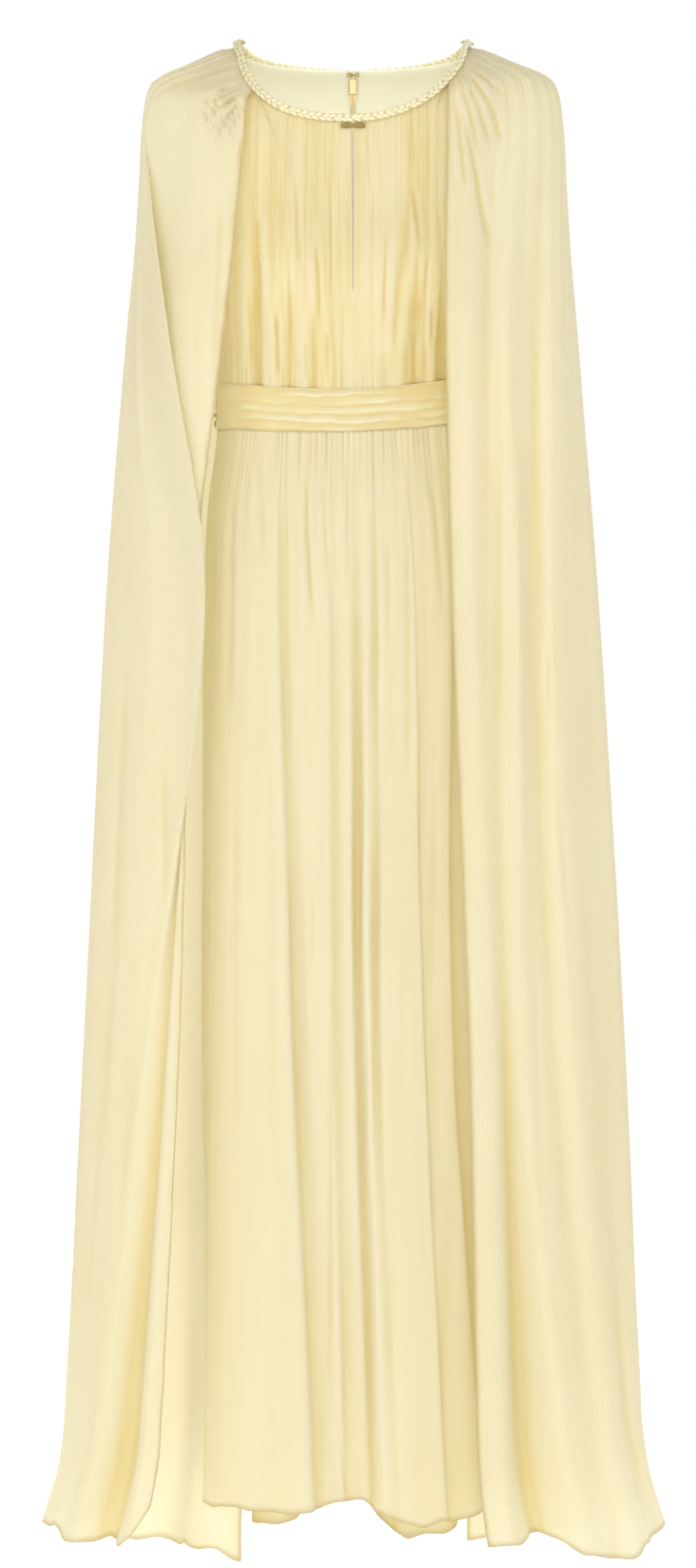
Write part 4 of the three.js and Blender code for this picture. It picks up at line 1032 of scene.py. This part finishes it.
def cord(name, light, middle, deep):
    """Twisted silk cord with fine diagonal plies, and painted shade, deeper where a strand passes
    under and on each strand's flanks.
    """
    nodes = Nodes(name)
    place = nodes.place()
    plies = nodes.bands("DIAGONAL", {"Vector": place, "Scale": 420, "Distortion": 2, "Detail": 1})
    fluff = nodes.noise(place, 900, 2)
    # Painted shade where a strand passes under and on its flanks, painted highlight where it
    # crosses over.
    height = nodes.remap(nodes.attribute("fold"), -0.8, 0.7)
    colour = nodes.mix(height, linear(deep), linear(light))
    shade = nodes.math("MULTIPLY", nodes.math("MULTIPLY", plies, fluff), 0.35)
    colour = nodes.mix(shade, colour, linear(middle))
    return nodes.finish(nodes.add("BsdfPrincipled", {
        "Base Color": colour, "Roughness": nodes.remap(fluff, 0, 1, 0.45, 0.7),
        "Normal": nodes.bump(plies, 0.5, 0.0003), "Sheen Weight": 0.3}))


def hard(name, light, deep, metallic, rough, grain):
    """Metal or nylon with a fine grain and slightly darker, duller patches."""
    nodes = Nodes(name)
    place = nodes.place()
    patches = nodes.noise(place, grain, 4)
    return nodes.finish(nodes.add("BsdfPrincipled", {
        "Base Color": nodes.mix(patches, linear(deep), linear(light)),
        "Roughness": nodes.remap(patches, 0, 1, rough - 0.1, rough + 0.15),
        "Normal": nodes.bump(nodes.noise(place, 6 * grain, 2), 0.2, 0.0001),
        "Metallic": metallic}))


# The palest colour of each cloth and of the cord is its painted highlight, and the deepest its
# painted shade; in the cloths the deepest colour also follows the yarn's slub.
CHIFFON = chiffon("silk_chiffon", (249, 246, 226), (247, 242, 216), (240, 226, 176),
                  through_light=0.5, streaks=0.7)
BODICE_SILK = chiffon("gathered_chiffon", (246, 239, 208), (242, 232, 188), (229, 207, 142),
                      through_light=0.38, streaks=1.3)
SASH = chiffon("pleated_sash", (249, 243, 214), (244, 234, 192), (230, 209, 143),
               through_light=0.32, gloss=0.6, sheen=0.35)
VOILE = chiffon("sheer_chiffon", (250, 248, 230), (249, 245, 224), (240, 226, 176),
                through_light=0.5, sheer=0.24, threads=1300)
LINING = chiffon("silk_lining", (252, 252, 240), (252, 251, 236), (248, 244, 220),
                 through_light=0.5, gloss=0.5, sheen=0.2, threads=2200)
CORD = cord("plaited_cord", (242, 234, 196), (232, 219, 168), (204, 184, 122))
NYLON = hard("zip_nylon", (248, 232, 190), (238, 216, 168), 0.0, 0.5, 300)
TAPE = hard("zip_tape", (232, 214, 166), (214, 192, 138), 0.0, 0.7, 300)
BRONZE = hard("antique_bronze", (150, 133, 80), (90, 75, 36), 0.9, 0.42, 260)

# ---------- the dress

front = dress_up(bodice_front(), BODICE_SILK)
band = dress_up(band_piece("waistband_front", FRONT, -np.pi / 2, np.pi / 2, LEFT), SASH)
skirt = dress_up(skirt_panel("skirt_front", SKIRT_FRONT, FRONT, LEFT, 70, SKIRT_CREASES),
                 CHIFFON)

for side in (LEFT, RIGHT):
    back = dress_up(bodice_back(side), BODICE_SILK)
    lining = dress_up(back_lining(side), LINING)
    centre = side * ZIP_OPEN / value_at(BODY, "half", BAND_TOP_Z)
    band_back = dress_up(band_piece(name_of("waistband_back", side), BACK, side * np.pi / 2,
                                    centre, side), SASH)
    skirt_back = dress_up(skirt_panel(name_of("skirt_back", side), SKIRT_BACK[side], BACK, side,
                                      80 + 9 * side), CHIFFON)
    cloak = dress_up(cape(side), VOILE)

dress_up(braid("neck_braid_front_cord", FRONT, -1, 1), CORD)
dress_up(braid("neck_braid_back_left_cord", BACK, BRAID_CENTRE, 1), CORD)
dress_up(braid("neck_braid_back_right_cord", BACK, -1, -BRAID_CENTRE), CORD)
dress_up(zip_coil(), TAPE, "zip_chain")

TRIM = {"zip_tape_left": TAPE, "zip_tape_right": TAPE, "zip_slider": NYLON, "zip_pull": NYLON,
        "keyhole_bar": BRONZE, "hook": BRONZE, "eye": BRONZE}
for node, material in TRIM.items():
    frame["nodes"][node].data.materials.clear()
    frame["nodes"][node].data.materials.append(material)

# ---------- studio

FLOOR_HALF, FLOOR_Z, FLOOR_GLOW = 20000, -1.572, 0.36
SURROUND_GLOW = 0.66


def studio():
    corners = FLOOR_HALF * np.array([(-1, -1, 0), (1, -1, 0), (1, 1, 0), (-1, 1, 0)])
    floor = new_object("floor", corners, [(0, 1, 2, 3)], smooth=False)
    floor.location.z = FLOOR_Z
    nodes = Nodes("studio_floor")
    paper = nodes.add("TexNoise", {"Scale": 3, "Detail": 2})
    colour = nodes.mix(paper, (0.97, 0.97, 0.97, 1), (0.99, 0.99, 0.99, 1))
    shader = nodes.add("BsdfPrincipled", {
        "Base Color": colour, "Roughness": 0.9, "Emission Color": (1, 1, 1, 1),
        "Emission Strength": FLOOR_GLOW})
    floor.data.materials.append(nodes.finish(shader))


def area_light(name, place, target, size, watts, only=(), colour=(1, 1, 1)):
    """A round soft light. It is kept to the pieces whose names begin as only says, if any, and
    only these cast its shadows."""
    light = bpy.data.lights.new(name, "AREA")
    light.shape = "DISK"
    light.size = size
    light.energy = watts
    light.color = colour
    obj = in_scene(name, light)
    obj.location = place
    obj.rotation_euler = (Vector(target) - Vector(place)).to_track_quat("-Z", "Y").to_euler()
    if only:
        pieces = bpy.data.collections.new(f"lit_by_{name}")
        for piece in bpy.data.objects:
            if piece.name.startswith(only):
                pieces.objects.link(piece)
        obj.light_linking.receiver_collection = pieces
        obj.light_linking.blocker_collection = pieces


def world():
    """A white surround that lights the dress by a share of what the camera sees."""
    sky = bpy.data.worlds.new("studio")
    sky.use_nodes = True
    tree = sky.node_tree
    surround = tree.nodes["Background"]
    surround.inputs["Color"].default_value = (1, 1, 1, 1)
    ray = tree.nodes.new("ShaderNodeLightPath")
    share = tree.nodes.new("ShaderNodeMapRange")
    share.inputs["To Min"].default_value = SURROUND_GLOW
    tree.links.new(ray.outputs["Is Camera Ray"], share.inputs["Value"])
    tree.links.new(share.outputs[0], surround.inputs["Strength"])
    bpy.context.scene.world = sky


def camera():
    """Level, along +Y, framed as the photograph is: 1650 pixels cover its long side."""
    data = bpy.data.cameras.new("camera")
    data.sensor_width = 36
    data.lens = 36 * -EYE[1] / (1650 * PHOTO_MM)
    data.clip_end = 100
    obj = in_scene("camera", data)
    obj.location = Vector(EYE) * MM
    obj.rotation_euler = (np.pi / 2, 0, 0)
    bpy.context.scene.camera = obj


studio()
world()
area_light("key", (-1.4, -3.6, 0.9), (0, 0, -0.7), 1.8, 20)
area_light("front", (0.3, -4.2, 0.3), (0, 0, -0.5), 2.4, 46)
area_light("back", (0, 3.4, 0.6), (0, 0, -0.6), 2.6, 75)
inside = ("back_lining", "bodice_back", "neck_braid_back", "zip_", "hook", "eye")
area_light("neck", (0, -3.2, -0.2), (0, 0.05, -0.05), 1.2, 70, inside, (0.79, 0.88, 1))
middle = ("bodice_front", "waistband_front", "skirt_front")
area_light("right", (-4, -0.5, -0.2), (0, 0, -0.7), 1.6, 27, middle)
area_light("left", (4, -0.5, -0.4), (0, 0, -0.7), 1.6, 11, middle)
camera()
bpy.context.scene.view_settings.view_transform = "Standard"
